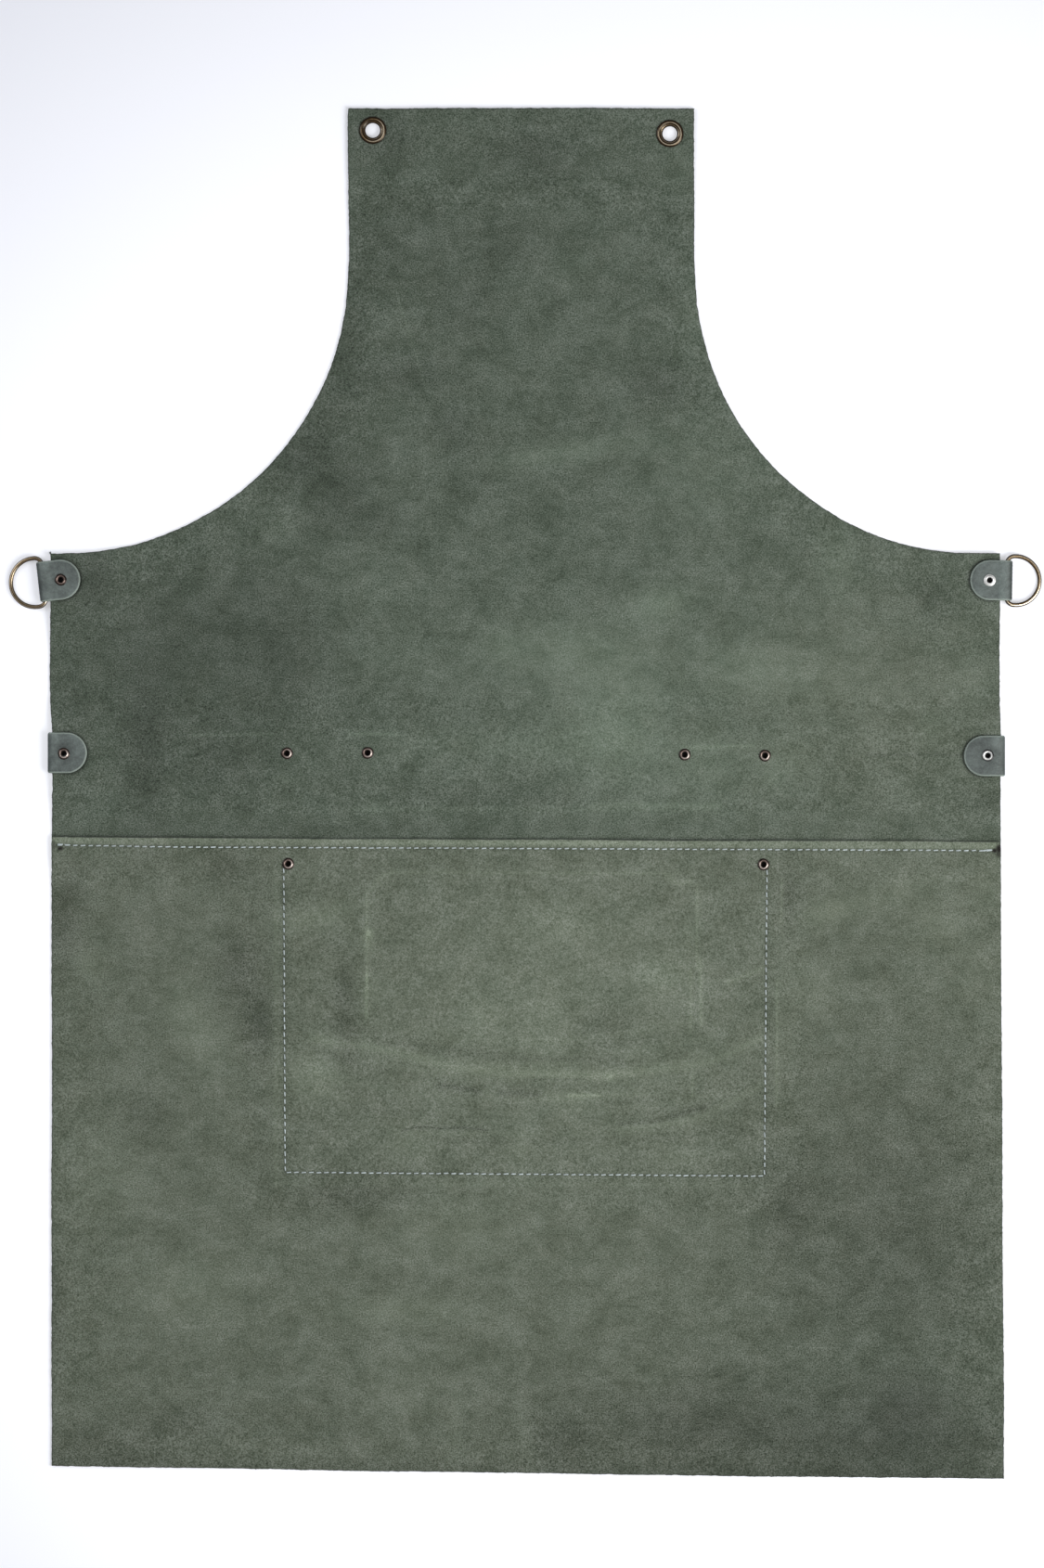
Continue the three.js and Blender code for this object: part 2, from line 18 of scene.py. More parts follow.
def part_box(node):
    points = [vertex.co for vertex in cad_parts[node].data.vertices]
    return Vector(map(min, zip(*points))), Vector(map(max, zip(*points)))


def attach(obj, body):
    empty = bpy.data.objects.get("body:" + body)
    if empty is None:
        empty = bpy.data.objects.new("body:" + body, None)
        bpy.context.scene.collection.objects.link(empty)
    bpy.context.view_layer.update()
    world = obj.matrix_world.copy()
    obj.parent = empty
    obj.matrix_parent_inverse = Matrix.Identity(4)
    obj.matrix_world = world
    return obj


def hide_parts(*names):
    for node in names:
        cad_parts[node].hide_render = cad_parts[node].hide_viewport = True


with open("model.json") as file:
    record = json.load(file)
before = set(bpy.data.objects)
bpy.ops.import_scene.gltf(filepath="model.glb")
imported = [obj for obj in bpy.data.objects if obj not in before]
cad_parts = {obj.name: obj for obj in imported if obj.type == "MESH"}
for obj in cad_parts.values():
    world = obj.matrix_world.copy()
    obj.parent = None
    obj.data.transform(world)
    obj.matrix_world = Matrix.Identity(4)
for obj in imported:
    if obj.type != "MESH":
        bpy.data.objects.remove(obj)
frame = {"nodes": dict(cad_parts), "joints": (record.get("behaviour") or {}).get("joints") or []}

bl_info = {
    "name": "Leather Grill Apron",
    "version": (1, 0, 0),
    "blender": (4, 5, 0),
    "location": "3D View > Sidebar > Apron",
    "description": "Builds a worn leather grill apron around its solids",
    "category": "Mesh",
}

MM = 0.001
NODES = frame["nodes"]
JOINTS = {joint["child"]: joint for joint in frame["joints"]}
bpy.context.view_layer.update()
SIDES = ("left", "right")

# Tables are in millimetres of the apron's frame, and tones in steps of a 256-step grey scale.

# Soft dark and light clouds in the suede, its own tone and some painted shade: middle, half width, half
# height, turn in degrees, tone
Cloud = namedtuple("Cloud", "x y wide high turn tone")
CLOUDS = [
    # Bib and armholes
    Cloud(-92, 417, 20, 15, 0, -12),
    Cloud(98, 394, 12, 14, 0, 6),
    Cloud(-98, 345, 22, 45, 0, -4),
    Cloud(8, 403, 26, 18, 0, -9),
    Cloud(-68, 354, 35, 35, 0, -4),
    Cloud(-9, 349, 26, 20, 0, -5),
    Cloud(-39, 308, 23, 23, 0, -5),
    Cloud(30, 333, 12, 10, 0, 5),
    Cloud(84, 258, 20, 14, 0, -9),
    Cloud(108, 300, 14, 30, 0, 6),
    Cloud(-113, 300, 14, 40, 0, -6),
    Cloud(-120, 255, 18, 26, 0, -7),
    Cloud(-74, 265, 26, 13, 0, -8),
    Cloud(-48, 234, 15, 12, 0, -6),
    Cloud(-34, 208, 15, 20, 0, -5),
    Cloud(22, 215, 52, 8, 9, 11),
    Cloud(115, 205, 50, 40, 0, 7),
    Cloud(-140, 214, 20, 24, -40, -14),
    Cloud(-116, 190, 16, 28, -35, -9),
    Cloud(-96, 172, 20, 12, 0, -6),
    Cloud(-155, 168, 12, 10, 0, 4),
    # Chest and waist
    # Painted shade: the light falls off towards the upper left
    Cloud(-210, 95, 85, 58, 0, -11),
    Cloud(-150, 88, 26, 34, 0, -5),
    Cloud(-165, 130, 22, 12, 0, -2),
    # Painted shadow beside the tip of the left ring tab
    Cloud(-274, 138, 14, 20, 0, -13),
    # Painted shade of the fold at the strap's left end
    Cloud(-240, 28, 15, 52, 0, -12),
    Cloud(-192, 20, 28, 26, 0, -8),
    Cloud(-286, 35, 14, 40, 0, -5),
    Cloud(-98, 128, 32, 24, 0, 4),
    Cloud(-88, 88, 32, 15, 0, 4),
    Cloud(24, 92, 48, 16, 0, 9),
    Cloud(-14, 94, 10, 10, 0, 6),
    Cloud(58, 40, 34, 40, 0, 15),
    Cloud(-9, 30, 74, 12, 0, 7),
    Cloud(86, 120, 19, 11, 12, 15),
    Cloud(136, 80, 22, 15, 0, 7),
    Cloud(170, 74, 36, 22, 0, 5),
    Cloud(205, 62, 100, 76, 0, 7),
    Cloud(50, 75, 90, 50, 0, 5),
    Cloud(118, 14, 32, 24, 0, 8),
    Cloud(165, 20, 20, 14, 0, 6),
    Cloud(197, 150, 14, 26, 0, 9),
    Cloud(256, 124, 14, 12, 0, -6),
    Cloud(256, 42, 10, 10, 0, 7),
    Cloud(282, 70, 16, 20, 0, 5),
    Cloud(290, -4, 15, 9, 0, -6),
    Cloud(-27, -4, 80, 9, 0, -4),
    Cloud(-130, -24, 190, 7, 0, -5),
    Cloud(-151, 8.8, 6, 4, 0, 7),
    Cloud(-95, -8, 5, 4, 0, 6),
    Cloud(157, 10, 5, 5, 0, 6),
    # Skirt beside the pocket
    Cloud(-293, -84, 12, 26, 0, -11),
    Cloud(-285, -58, 11, 15, 0, -5),
    Cloud(-274, -108, 11, 10, 0, 8),
    Cloud(-188, -46, 15, 13, 0, -8),
    Cloud(-181, -110, 14, 24, 0, -13),
    Cloud(-168, -146, 10, 18, 0, -14),
    Cloud(-210, -146, 14, 30, 25, 9),
    Cloud(-240, -204, 15, 16, 0, -6),
    Cloud(-268, -240, 28, 34, 0, 6),
    Cloud(166, -66, 9, 22, 0, -11),
    Cloud(292, -62, 10, 14, 0, 6),
    Cloud(190, -75, 20, 8, 14, 10),
    Cloud(232, -64, 34, 10, 14, 6),
    Cloud(262, -84, 18, 16, 0, 7),
    Cloud(182, -125, 14, 18, 0, 5),
    Cloud(285, -118, 18, 24, 0, 4),
    # Pocket
    Cloud(20, -137, 129, 100, 0, 8),
    Cloud(-132, -78, 26, 8, 14, 12),
    Cloud(-114, -128, 8, 22, 0, -11),
    Cloud(-99, -92, 5, 8, 0, 9),
    Cloud(-98.6, -88.5, 2.2, 2.8, 0, 30),
    Cloud(-98, -126, 8, 10, 0, 6),
    Cloud(-134, -179, 19, 16, 0, 14),
    Cloud(87, -114, 16, 12, 0, 10),
    Cloud(103, -90, 4, 8, 0, 8),
    Cloud(50, -148, 22, 18, 0, -7),
    Cloud(24, -82, 36, 14, 0, 6),
    Cloud(-28, -140, 14, 13, 0, 6),
    Cloud(12, -150, 20, 24, 0, 4),
    Cloud(-112, -158, 9, 16, 0, -8),
    Cloud(30, -194, 16, 7, 0, 7),
    Cloud(-72, -221, 16, 9, 0, 8),
    Cloud(-4, -224, 8, 13, 0, 6),
    Cloud(96, -229, 16, 9, 0, 6),
    # Below the pocket
    Cloud(-109, -254, 36, 12, 0, -10),
    Cloud(-45, -274, 42, 22, 0, 6),
    Cloud(-80, -326, 44, 10, 0, 8),
    Cloud(-212, -312, 34, 24, 0, 8),
    Cloud(-78, -376, 32, 26, 0, 4),
    Cloud(78, -369, 22, 14, 0, 5),
    Cloud(-300, -330, 9, 40, 0, -8),
    Cloud(-262, -412, 50, 16, 0, -7),
    Cloud(-215, -396, 26, 10, 0, -5),
    Cloud(166, -258, 14, 30, 0, -7),
    # Painted shade: the light falls off towards the lower right
    Cloud(235, -285, 92, 120, 0, -14),
    Cloud(242, -384, 24, 18, 0, -11),
    Cloud(100, -400, 75, 42, 0, -12),
    Cloud(240, -415, 100, 34, 0, -18),
    Cloud(0, -140, 130, 80, 0, 2),
    Cloud(20, 80, 130, 60, 0, 2),
    Cloud(-60, -400, 230, 45, 0, -2),
    Cloud(20, -412, 22, 20, 0, -8),
    Cloud(-44, -404, 5, 23, 0, 4),
    Cloud(0, -409, 5, 23, 10, 6),
]

# Ridges and creases pressed into the leather: points, half width, height, tone before rubbing; ridges are
# lighter from rubbing and painted light, creases darker with painted shade
Ridge = namedtuple("Ridge", "points wide height tone")
BIB_RIDGES = [
    Ridge([(-210, 37), (-160, 37.3)], 1.2, 0.24, 7),
    Ridge([(-112, 37.9), (-82, 37.5)], 1.2, 0.24, 8),
    Ridge([(99, 29), (144, 30.1)], 1.4, 0.24, 8),
    Ridge([(-109, -9.7), (119, -9.7)], 2, 0.22, 4),
    Ridge([(43, -6.7), (123, -7.5)], 1.8, 0.2, 6),
    Ridge([(215, 24.6), (275, 24.6)], 0.7, -0.15, -6),
    Ridge([(-82, 319), (-62, 255)], 1, -0.12, 4),
]
SKIRT_RIDGES = [
    # The pocket's edges
    Ridge([(-157.5, -49), (-157.5, -248)], 1.3, 0.26, 4),
    Ridge([(161.9, -54), (161.6, -82)], 0.8, 0.3, 10),
    Ridge([(159, -118), (158.6, -197)], 0.9, 0.26, 8),
    Ridge([(-157, -246.4), (159, -247.4)], 1.4, 0.2, 3),
    # A rectangle pressed in from the front
    Ridge([(-100.2, -62), (-100.2, -118)], 0.9, 0.3, 8),
    Ridge([(-100.2, -114), (-100.4, -141)], 1.1, 0.35, 12),
    Ridge([(-97, -60), (-91, -52.5), (-84, -50)], 1.5, 0.3, 7),
    Ridge([(-84, -49.6), (96, -50.4)], 1, 0.2, 6),
    Ridge([(88.7, -51.5), (97, -57), (104.8, -55.5)], 1.5, 0.3, 8),
    Ridge([(108.4, -58), (108.2, -110)], 0.9, 0.3, 9),
    Ridge([(110.4, -106), (110.8, -146)], 1.1, 0.36, 10),
    Ridge([(104.4, -112), (104.4, -150)], 1.1, 0.25, 7),
    Ridge([(105.5, -178), (105.5, -190)], 0.9, 0.3, 9),
    Ridge([(28, -190.6), (46, -190.4)], 1.1, 0.3, 12),
    Ridge([(46, -190.4), (104, -190.2)], 0.9, 0.2, 3),
    # Sagging folds and the creases between them
    Ridge([(-134, -154.3), (-92, -161.6), (-46, -172.4), (8, -177), (53, -178.2)], 3.2, 0.45, 8),
    Ridge([(53, -178.2), (81, -174.4), (109.6, -170.6), (128.6, -164), (147.4, -154.6)], 2.8, 0.45, 8),
    # Painted shade above the first sagging fold
    Ridge([(-94, -156.5), (-30, -164), (0, -167), (60, -168)], 2.6, -0.15, -3.5),
    Ridge([(60, -212), (113.5, -202.8), (132.3, -193.3), (149.3, -183.9)], 2.6, 0.38, 5),
    Ridge([(58.7, -208.4), (81.4, -207), (102, -200.9), (113.5, -198)], 1.6, -0.25, -7),
    Ridge([(-77.3, -212.8), (-66.7, -210.2), (-53.9, -211.6), (-39.2, -210.8), (-24.6, -212.6)],
          0.6, -0.2, -14),
    Ridge([(0, -180.4), (36, -180.2)], 0.6, -0.15, -7),
    Ridge([(-54, -184), (-30, -187.5)], 2.2, -0.1, -9),
    Ridge([(-15, -189), (8, -190)], 2.6, -0.1, -8),
    Ridge([(127.4, -118.9), (149.3, -110.8)], 1.8, 0.35, 8),
]

# Streaks that hang across the skirt behind the pocket: their spacing, strength, and where one lies
Streak = namedtuple("Streak", "spacing strength start")
STREAKS = [Streak(19, 2.2, 3), Streak(11.5, 2, 7), Streak(7.4, 1.6, 1)]

# Scorched spots where the thread ends were melted: middle, half width, half height, strength
Scorch = namedtuple("Scorch", "x y wide high strength")
SCORCHES = [
    Scorch(-293.6, -34.6, 1.9, 1.3, 1),
    Scorch(-297.6, -32, 0.9, 3, 0.6),
    Scorch(299.4, -34.8, 2.6, 3.3, 1),
    Scorch(296.4, -36, 1.7, 1.5, 1),
    Scorch(298.8, -38.4, 1.6, 1.8, 0.7),
]

# Straight rows of machine stitches, through the skirt and what lies under it.
# A tack is sewn over the first or last stitches, at these distances from the row's end in pitches.
StitchRow = namedtuple("StitchRow", "name start end tack_start tack_end")
SEAM_ROWS = [
    StitchRow("seam_start", (-296.2, -32.4), (-218.4, -33.7), (0.55, 1.5), ()),
    StitchRow("seam_middle", (-218.4, -33.7), (242.4, -35.7), (), ()),
    StitchRow("seam_end", (242.4, -35.7), (295.2, -36), (), (0.45, 0.8, 1.3)),
]
POCKET_ROWS = [
    StitchRow("pocket_left", (-152.5, -46.2), (-151.6, -239.1), (), ()),
    StitchRow("pocket_bottom", (-151.6, -239.1), (151, -241.5), (), ()),
    StitchRow("pocket_right", (151, -241.5), (152.6, -47.2), (), ()),
]

# Waves of a raw edge: how far one runs along the edge, and how far it moves the edge
EdgeWave = namedtuple("EdgeWave", "reach size")
EDGE_WAVES = [EdgeWave(90, 0.14), EdgeWave(7, 0.05), EdgeWave(1.2, 0.09)]

# The rim of a sheet: inset as a share of the bevel, place through the leather, how much cut edge shows
Rim = namedtuple("Rim", "inset through cut")
RIMS = [Rim(1, 1, 0), Rim(0.4, 0.8, 0.85), Rim(0, 0.15, 1), Rim(0.12, -0.75, 1), Rim(0.35, -1, 0)]

# Turned profiles: radius, height over the part's seat, and how bright it is rubbed, or below zero how dark
# the bore is painted as shade
Turn = namedtuple("Turn", "radius height crest")
RIVET_CAP = [
    Turn(0, 0, 0.7),
    Turn(2.6, 0.02, 0.8),
    Turn(3.7, 0.2, 0.9),
    Turn(4.15, 0.55, 0.6),
    Turn(4.1, 0.95, 0.2),
    Turn(1.5, 1, 0),
]
RIVET_COLLAR = [
    Turn(1.7, 0, 0),
    Turn(3.6, 0, 0),
    Turn(3.78, 0.16, 0.02),
    Turn(3.55, 0.36, 0.2),
    Turn(3.15, 0.5, 0.05),
    Turn(2.9, 0.78, 0.5),
    Turn(2.5, 1.08, 0.95),
    Turn(2.15, 1.06, 0.8),
    Turn(1.8, 0.72, 0.2),
    # The bore is painted black as shade
    Turn(1.6, 0.2, -0.3),
    Turn(1.5, -2, -2),
    Turn(0, -2.2, -2),
]
EYELET_FRONT = [
    Turn(4.6, 1.9, 0.1),
    Turn(4.7, 0.6, 0.3),
    Turn(5.4, 0.06, 0.8),
    Turn(6.6, 0, 1),
    Turn(7.8, 0.12, 0.8),
    Turn(8.42, 0.5, 0.3),
    Turn(8.4, 0.8, 0),
    Turn(5.4, 0.8, 0),
]
EYELET_BACK = [
    Turn(5.4, 0, 0),
    Turn(8.5, 0, 0),
    Turn(8.72, 0.22, 0),
    Turn(8.5, 0.62, 0),
    Turn(7.9, 0.98, 0.02),
    Turn(7.45, 1.14, 0.35),
    Turn(7.1, 1.18, 1.1),
    Turn(6.75, 1.14, 0.2),
    Turn(6.3, 1, 0.02),
    Turn(5.95, 0.8, 0.2),
    Turn(5.65, 0.6, 0.95),
    Turn(5.35, 0.4, 0.1),
    Turn(4.9, 0.1, 0.02),
    Turn(4.6, -0.5, 0.05),
]


class ApronLeather(PropertyGroup):
    """Sizes and colours of the leather."""

    body_thickness: FloatProperty(
        name="Body leather", description="Thickness of the bib, skirt and pocket",
        default=0.0018, unit="LENGTH",
    )
    strap_thickness: FloatProperty(
        name="Strap leather", description="Thickness of the strap and the ring tabs",
        default=0.002, unit="LENGTH",
    )
    face_spacing: FloatProperty(
        name="Face spacing", description="Spacing of points on a panel's back",
        default=0.0022, unit="LENGTH",
    )
    front_spacing: FloatProperty(
        name="Front spacing", description="Spacing of points on a panel's front",
        default=0.005, unit="LENGTH",
    )
    strip_spacing: FloatProperty(
        name="Strip spacing", description="Spacing of points on the strap and tabs",
        default=0.0013, unit="LENGTH",
    )
    panel_bevel: FloatProperty(
        name="Panel edge", description="Width of the worn edge of a panel",
        default=0.0007, unit="LENGTH",
    )
    tab_bevel: FloatProperty(
        name="Tab edge", description="Width of the pale cut edge of a tab",
        default=0.0012, unit="LENGTH",
    )
    suede: FloatVectorProperty(
        name="Suede", description="Colour of the rough back",
        default=(0.082, 0.1047, 0.0785), subtype="COLOR",
    )
    suede_warm: FloatVectorProperty(
        name="Warm suede", description="Colour of the back where it is olive",
        default=(0.0945, 0.1087, 0.08), subtype="COLOR",
    )
    smooth: FloatVectorProperty(
        name="Smooth", description="Colour of the smooth front",
        default=(0.09, 0.1095, 0.1025), subtype="COLOR",
    )
    cut_edge: FloatVectorProperty(
        name="Cut edge", description="Colour of the cut edge of the tabs",
        default=(0.3, 0.355, 0.315), subtype="COLOR",
    )
    scorch: FloatVectorProperty(
        name="Scorch", description="Colour of scorched leather",
        default=(0.008, 0.006, 0.005), subtype="COLOR",
    )


class ApronMetal(PropertyGroup):
    """Colours of the fittings."""

    brass_bright: FloatVectorProperty(
        name="Rubbed brass", description="Brass on the crests",
        default=(0.6, 0.535, 0.43), subtype="COLOR",
    )
    brass_warm: FloatVectorProperty(
        name="Worn brass", description="Brass where its coat is thin",
        default=(0.24, 0.16, 0.075), subtype="COLOR",
    )
    brass_dark: FloatVectorProperty(
        name="Coated brass", description="Brass in the hollows",
        default=(0.016, 0.01, 0.006), subtype="COLOR",
    )
    copper_bright: FloatVectorProperty(
        name="Rubbed copper", description="Copper on the crests",
        default=(0.62, 0.53, 0.48), subtype="COLOR",
    )
    copper_warm: FloatVectorProperty(
        name="Worn copper", description="Copper where its coat is thin",
        default=(0.25, 0.185, 0.16), subtype="COLOR",
    )
    copper_dark: FloatVectorProperty(
        name="Coated copper", description="Copper in the hollows",
        default=(0.018, 0.013, 0.011), subtype="COLOR",
    )
    nickel_bright: FloatVectorProperty(
        name="Nickel", description="Nickel on the crests",
        default=(0.95, 0.95, 0.93), subtype="COLOR",
    )
    nickel_warm: FloatVectorProperty(
        name="Dull nickel", description="Nickel on the slopes",
        default=(0.5, 0.5, 0.49), subtype="COLOR",
    )
    nickel_dark: FloatVectorProperty(
        name="Dark nickel", description="Nickel in the hollows",
        default=(0.012, 0.012, 0.012), subtype="COLOR",
    )
    ring_corner: FloatProperty(
        name="Ring corner", description="Radius of the D-ring's corners",
        default=0.0048, unit="LENGTH",
    )
    ring_wire: FloatProperty(
        name="Ring wire", description="Radius of the D-ring's wire",
        default=0.00135, unit="LENGTH",
    )


class ApronThread(PropertyGroup):
    """Sizes and colour of the stitches and loose fibres."""

    pitch: FloatProperty(
        name="Pitch", description="Distance from stitch to stitch",
        default=0.00475, unit="LENGTH",
    )
    length: FloatProperty(
        name="Length", description="Length of one stitch",
        default=0.0034, unit="LENGTH",
    )
    radius: FloatProperty(
        name="Radius", description="Radius of the thread",
        default=0.00038, unit="LENGTH",
    )
    colour: FloatVectorProperty(
        name="Thread", description="Colour of the thread",
        default=(0.5, 0.57, 0.58), subtype="COLOR",
    )
    fibres: IntProperty(
        name="Fibres", description="Loose fibres along each panel's raw edge",
        default=1100,
    )


class ApronStage(PropertyGroup):
    """Camera, light and floor."""

    camera_height: FloatProperty(
        name="Camera height", description="Height of the camera over the floor",
        default=6.6045, unit="LENGTH",
    )
    camera_place: FloatVectorProperty(
        name="Camera place", description="Place of the camera over the apron",
        default=(-0.00205, 0.0061), size=2, unit="LENGTH",
    )
    lens: FloatProperty(
        name="Lens", description="Focal length in millimetres",
        default=240, unit="CAMERA",
    )
    key: FloatProperty(
        name="Key light", description="Power of the light on the right",
        default=39, unit="POWER",
    )
    fill: FloatProperty(
        name="Fill light", description="Power of the light on the left",
        default=18, unit="POWER",
    )
    top: FloatProperty(
        name="Top light", description="Power of the light overhead",
        default=4, unit="POWER",
    )
    surround: FloatProperty(
        name="Surround", description="Strength of the light from all round",
        default=0.26,
    )
    mirrored: FloatProperty(
        name="Mirrored surround", description="Share of the light from all round that metal mirrors",
        default=0.4,
    )
    glint: FloatProperty(
        name="Glint", description="Power of the small light that the metal mirrors",
        default=2.5, unit="POWER",
    )
    floor: FloatVectorProperty(
        name="Floor", description="Colour of the floor",
        default=(0.65, 0.664, 0.718), subtype="COLOR",
    )
    floor_glow: FloatProperty(
        name="Floor glow", description="Light added to the floor that the camera sees",
        default=0.41,
    )
    corner_glow: FloatProperty(
        name="Corner glow", description="Light added to the floor at the corners of the photo",
        default=0.1,
    )
    far_glow: FloatProperty(
        name="Far glow", description="More light added to the floor far from the lamps",
        default=0.48,
    )
    backdrop: FloatProperty(
        name="Backdrop", description="Brightness of what the camera sees past the floor",
        default=0.8,
    )
    floor_middle: FloatVectorProperty(
        name="Floor middle", description="Middle of the floor's brightest part",
        default=(0.14, -0.09, 0), unit="LENGTH",
    )


# Reading the solids

@lru_cache(maxsize=None)
def node_mesh(name):
    """A node's corner points, merged, and its triangles."""
    mesh = NODES[name].data
    mesh.calc_loop_triangles()
    points = np.array([vertex.co for vertex in mesh.vertices])
    triangles = np.array([triangle.vertices for triangle in mesh.loop_triangles])
    merged, place = np.unique(points.round(6), axis=0, return_inverse=True)
    return merged, place.reshape(-1)[triangles]


def signed_area(loop):
    ahead = np.roll(loop, -1, axis=0)
    return 0.5 * np.sum(loop[:, 0] * ahead[:, 1] - ahead[:, 0] * loop[:, 1])


@lru_cache(maxsize=None)
def rim_loops(name):
    """Border loops of a node's upper faces in plan, the outline first and then the holes."""
    points, triangles = node_mesh(name)
    first, second, third = (points[triangles[:, corner]] for corner in range(3))
    normals = np.cross(second - first, third - first)
    least_upward = 0.2
    upper = triangles[normals[:, 2] > least_upward * np.linalg.norm(normals, axis=1)]
    edges = {(face[k], face[(k + 1) % 3]) for face in upper for k in range(3)}
    following = {start: end for start, end in edges if (end, start) not in edges}
    loops = []
    while following:
        start = min(following)
        loop = [start]
        here = following.pop(start)
        while here != start:
            loop.append(here)
            here = following.pop(here)
        loops.append(points[loop][:, :2])
    return sorted(loops, key=lambda loop: -abs(signed_area(loop)))


Hole = namedtuple("Hole", "x y radius sides")


def holes_of(name):
    """The round holes through a node, from the rims of its upper faces."""
    large = 4 * MM
    holes = []
    for loop in rim_loops(name)[1:]:
        middle = (loop.min(0) + loop.max(0)) / 2
        radius = np.linalg.norm(loop - middle, axis=1).max()
        holes.append(Hole(middle[0], middle[1], radius, 24 if radius > large else 14))
    return holes


def node_middle(name):
    low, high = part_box(name)
    return (low + high) / 2


def softened(grid, reach):
    """A grid blurred by a bell curve of that many cells."""
    span = int(3 * reach) + 1
    bell = np.exp(-0.5 * (np.arange(-span, span + 1) / reach) ** 2)
    bell /= bell.sum()
    for axis in (0, 1):
        padding = [(span, span) if axis == side else (0, 0) for side in (0, 1)]
        padded = np.pad(grid, padding, mode="edge")
        grid = np.apply_along_axis(lambda line: np.convolve(line, bell, "valid"), axis, padded)
    return grid


def filled_out(grid):
    """A grid whose empty cells take the mean of their filled neighbours, step by step."""
    while np.isnan(grid).any():
        padded = np.pad(grid, 1, constant_values=np.nan)
        beside = np.stack([padded[:-2, 1:-1], padded[2:, 1:-1], padded[1:-1, :-2], padded[1:-1, 2:]])
        known = ~np.isnan(beside)
        total = np.where(known, beside, 0).sum(0)
        mean = np.where(known.any(0), total / np.maximum(known.sum(0), 1), np.nan)
        grid = np.where(np.isnan(grid), mean, grid)
    return grid


@lru_cache(maxsize=None)
def drape_of(name):
    """Height of a node's upper face over the plan, with the creases of its facets softened."""
    cell = 3 * MM
    blur_cells = 1.2
    margin = 4 * cell
    points, triangles = node_mesh(name)
    tree = BVHTree.FromPolygons(points.tolist(), triangles.tolist())
    low = points.min(0) - margin
    high = points.max(0) + margin
    xs = np.arange(low[0], high[0], cell)
    ys = np.arange(low[1], high[1], cell)
    down = Vector((0, 0, -1))
    hits = [[tree.ray_cast((x, y, 1), down)[0] for x in xs] for y in ys]
    grid = np.array([[np.nan if hit is None else hit.z for hit in row] for row in hits])
    grid = softened(filled_out(grid), blur_cells)

    def height(plan):
        column = np.clip((plan[:, 0] - xs[0]) / cell, 0, len(xs) - 1.001)
        row = np.clip((plan[:, 1] - ys[0]) / cell, 0, len(ys) - 1.001)
        left = column.astype(int)
        under = row.astype(int)
        right_share = column - left
        upper_share = row - under
        lower_side = grid[under, left] * (1 - right_share) + grid[under, left + 1] * right_share
        upper_side = grid[under + 1, left] * (1 - right_share) + grid[under + 1, left + 1] * right_share
        return lower_side * (1 - upper_share) + upper_side * upper_share

    return height


# Lines

def steps_along(points):
    gaps = np.linalg.norm(np.diff(points, axis=0), axis=1)
    return np.concatenate(([0], np.cumsum(gaps)))


def smooth_line(points, step, closed_end=True):
    """A smooth line through points, at even steps."""
    points = np.asarray(points, float)
    at = steps_along(points)
    slopes = np.gradient(points, at, axis=0)
    count = max(2, round(at[-1] / step))
    wanted = np.linspace(0, at[-1], count + 1)
    if not closed_end:
        wanted = wanted[:-1]
    here = np.clip(np.searchsorted(at, wanted, side="right") - 1, 0, len(points) - 2)
    gap = (at[here + 1] - at[here])[:, None]
    share = (wanted - at[here])[:, None] / gap
    rest = 1 - share
    ends = points[here] * (1 + 2 * share) * rest ** 2 + points[here + 1] * (3 - 2 * share) * share ** 2
    bends = slopes[here] * share * rest ** 2 - slopes[here + 1] * rest * share ** 2
    return ends + bends * gap


def outward(loop):
    """Unit directions out of a loop that runs anticlockwise."""
    ahead = np.roll(loop, -1, axis=0) - np.roll(loop, 1, axis=0)
    out = np.column_stack((ahead[:, 1], -ahead[:, 0]))
    return out / np.linalg.norm(out, axis=1)[:, None]


def smooth_loop(loop, step):
    """A loop with its facets smoothed and its sharp corners kept, at even steps."""
    sharp = math.radians(35)
    behind = loop - np.roll(loop, 1, axis=0)
    ahead = np.roll(loop, -1, axis=0) - loop
    turn = np.arctan2(behind[:, 0] * ahead[:, 1] - behind[:, 1] * ahead[:, 0], (behind * ahead).sum(1))
    corners = np.flatnonzero(np.abs(turn) > sharp)
    runs = []
    for start, end in zip(corners, np.roll(corners, -1)):
        span = (end - start) % len(loop)
        ids = (start + np.arange(span + 1)) % len(loop)
        runs.append(smooth_line(loop[ids], step, closed_end=False))
    return np.concatenate(runs)


# An outline with the directions straight out of it, free of its small waves
Edge = namedtuple("Edge", "points out")


def ragged_edge(loop, step, seed):
    """A loop whose points wander in and out, as a knife and wear leave a raw edge."""
    rng = np.random.default_rng(seed)
    out = outward(loop)
    cycles = np.fft.rfftfreq(len(loop), d=step)
    for wave in EDGE_WAVES:
        rough = np.fft.rfft(rng.normal(size=len(loop)))
        shift = np.fft.irfft(rough * np.exp(-((cycles * wave.reach * MM) ** 2)), n=len(loop))
        loop = loop + out * (shift / shift.std() * wave.size * MM)[:, None]
    return Edge(loop, out)


def line_distance(plan, points):
    """Distance of each plan point to a line through points."""
    nearest = np.full(len(plan), np.inf)
    for start, end in zip(points[:-1], points[1:]):
        along = end - start
        share = np.clip(((plan - start) @ along) / (along @ along), 0, 1)
        reach = np.linalg.norm(plan - start - share[:, None] * along, axis=1)
        nearest = np.minimum(nearest, reach)
    return nearest


def rows_beside(points, step, offsets):
    """Rows of points along a line and beside it."""
    line = smooth_line(points, step)
    ahead = np.gradient(line, axis=0)
    side = np.column_stack((-ahead[:, 1], ahead[:, 0])) / np.linalg.norm(ahead, axis=1)[:, None]
    return np.concatenate([line + side * offset for offset in offsets])


def circle_points(x, y, radius, turn):
    return np.column_stack((x + radius * np.cos(turn), y + radius * np.sin(turn)))


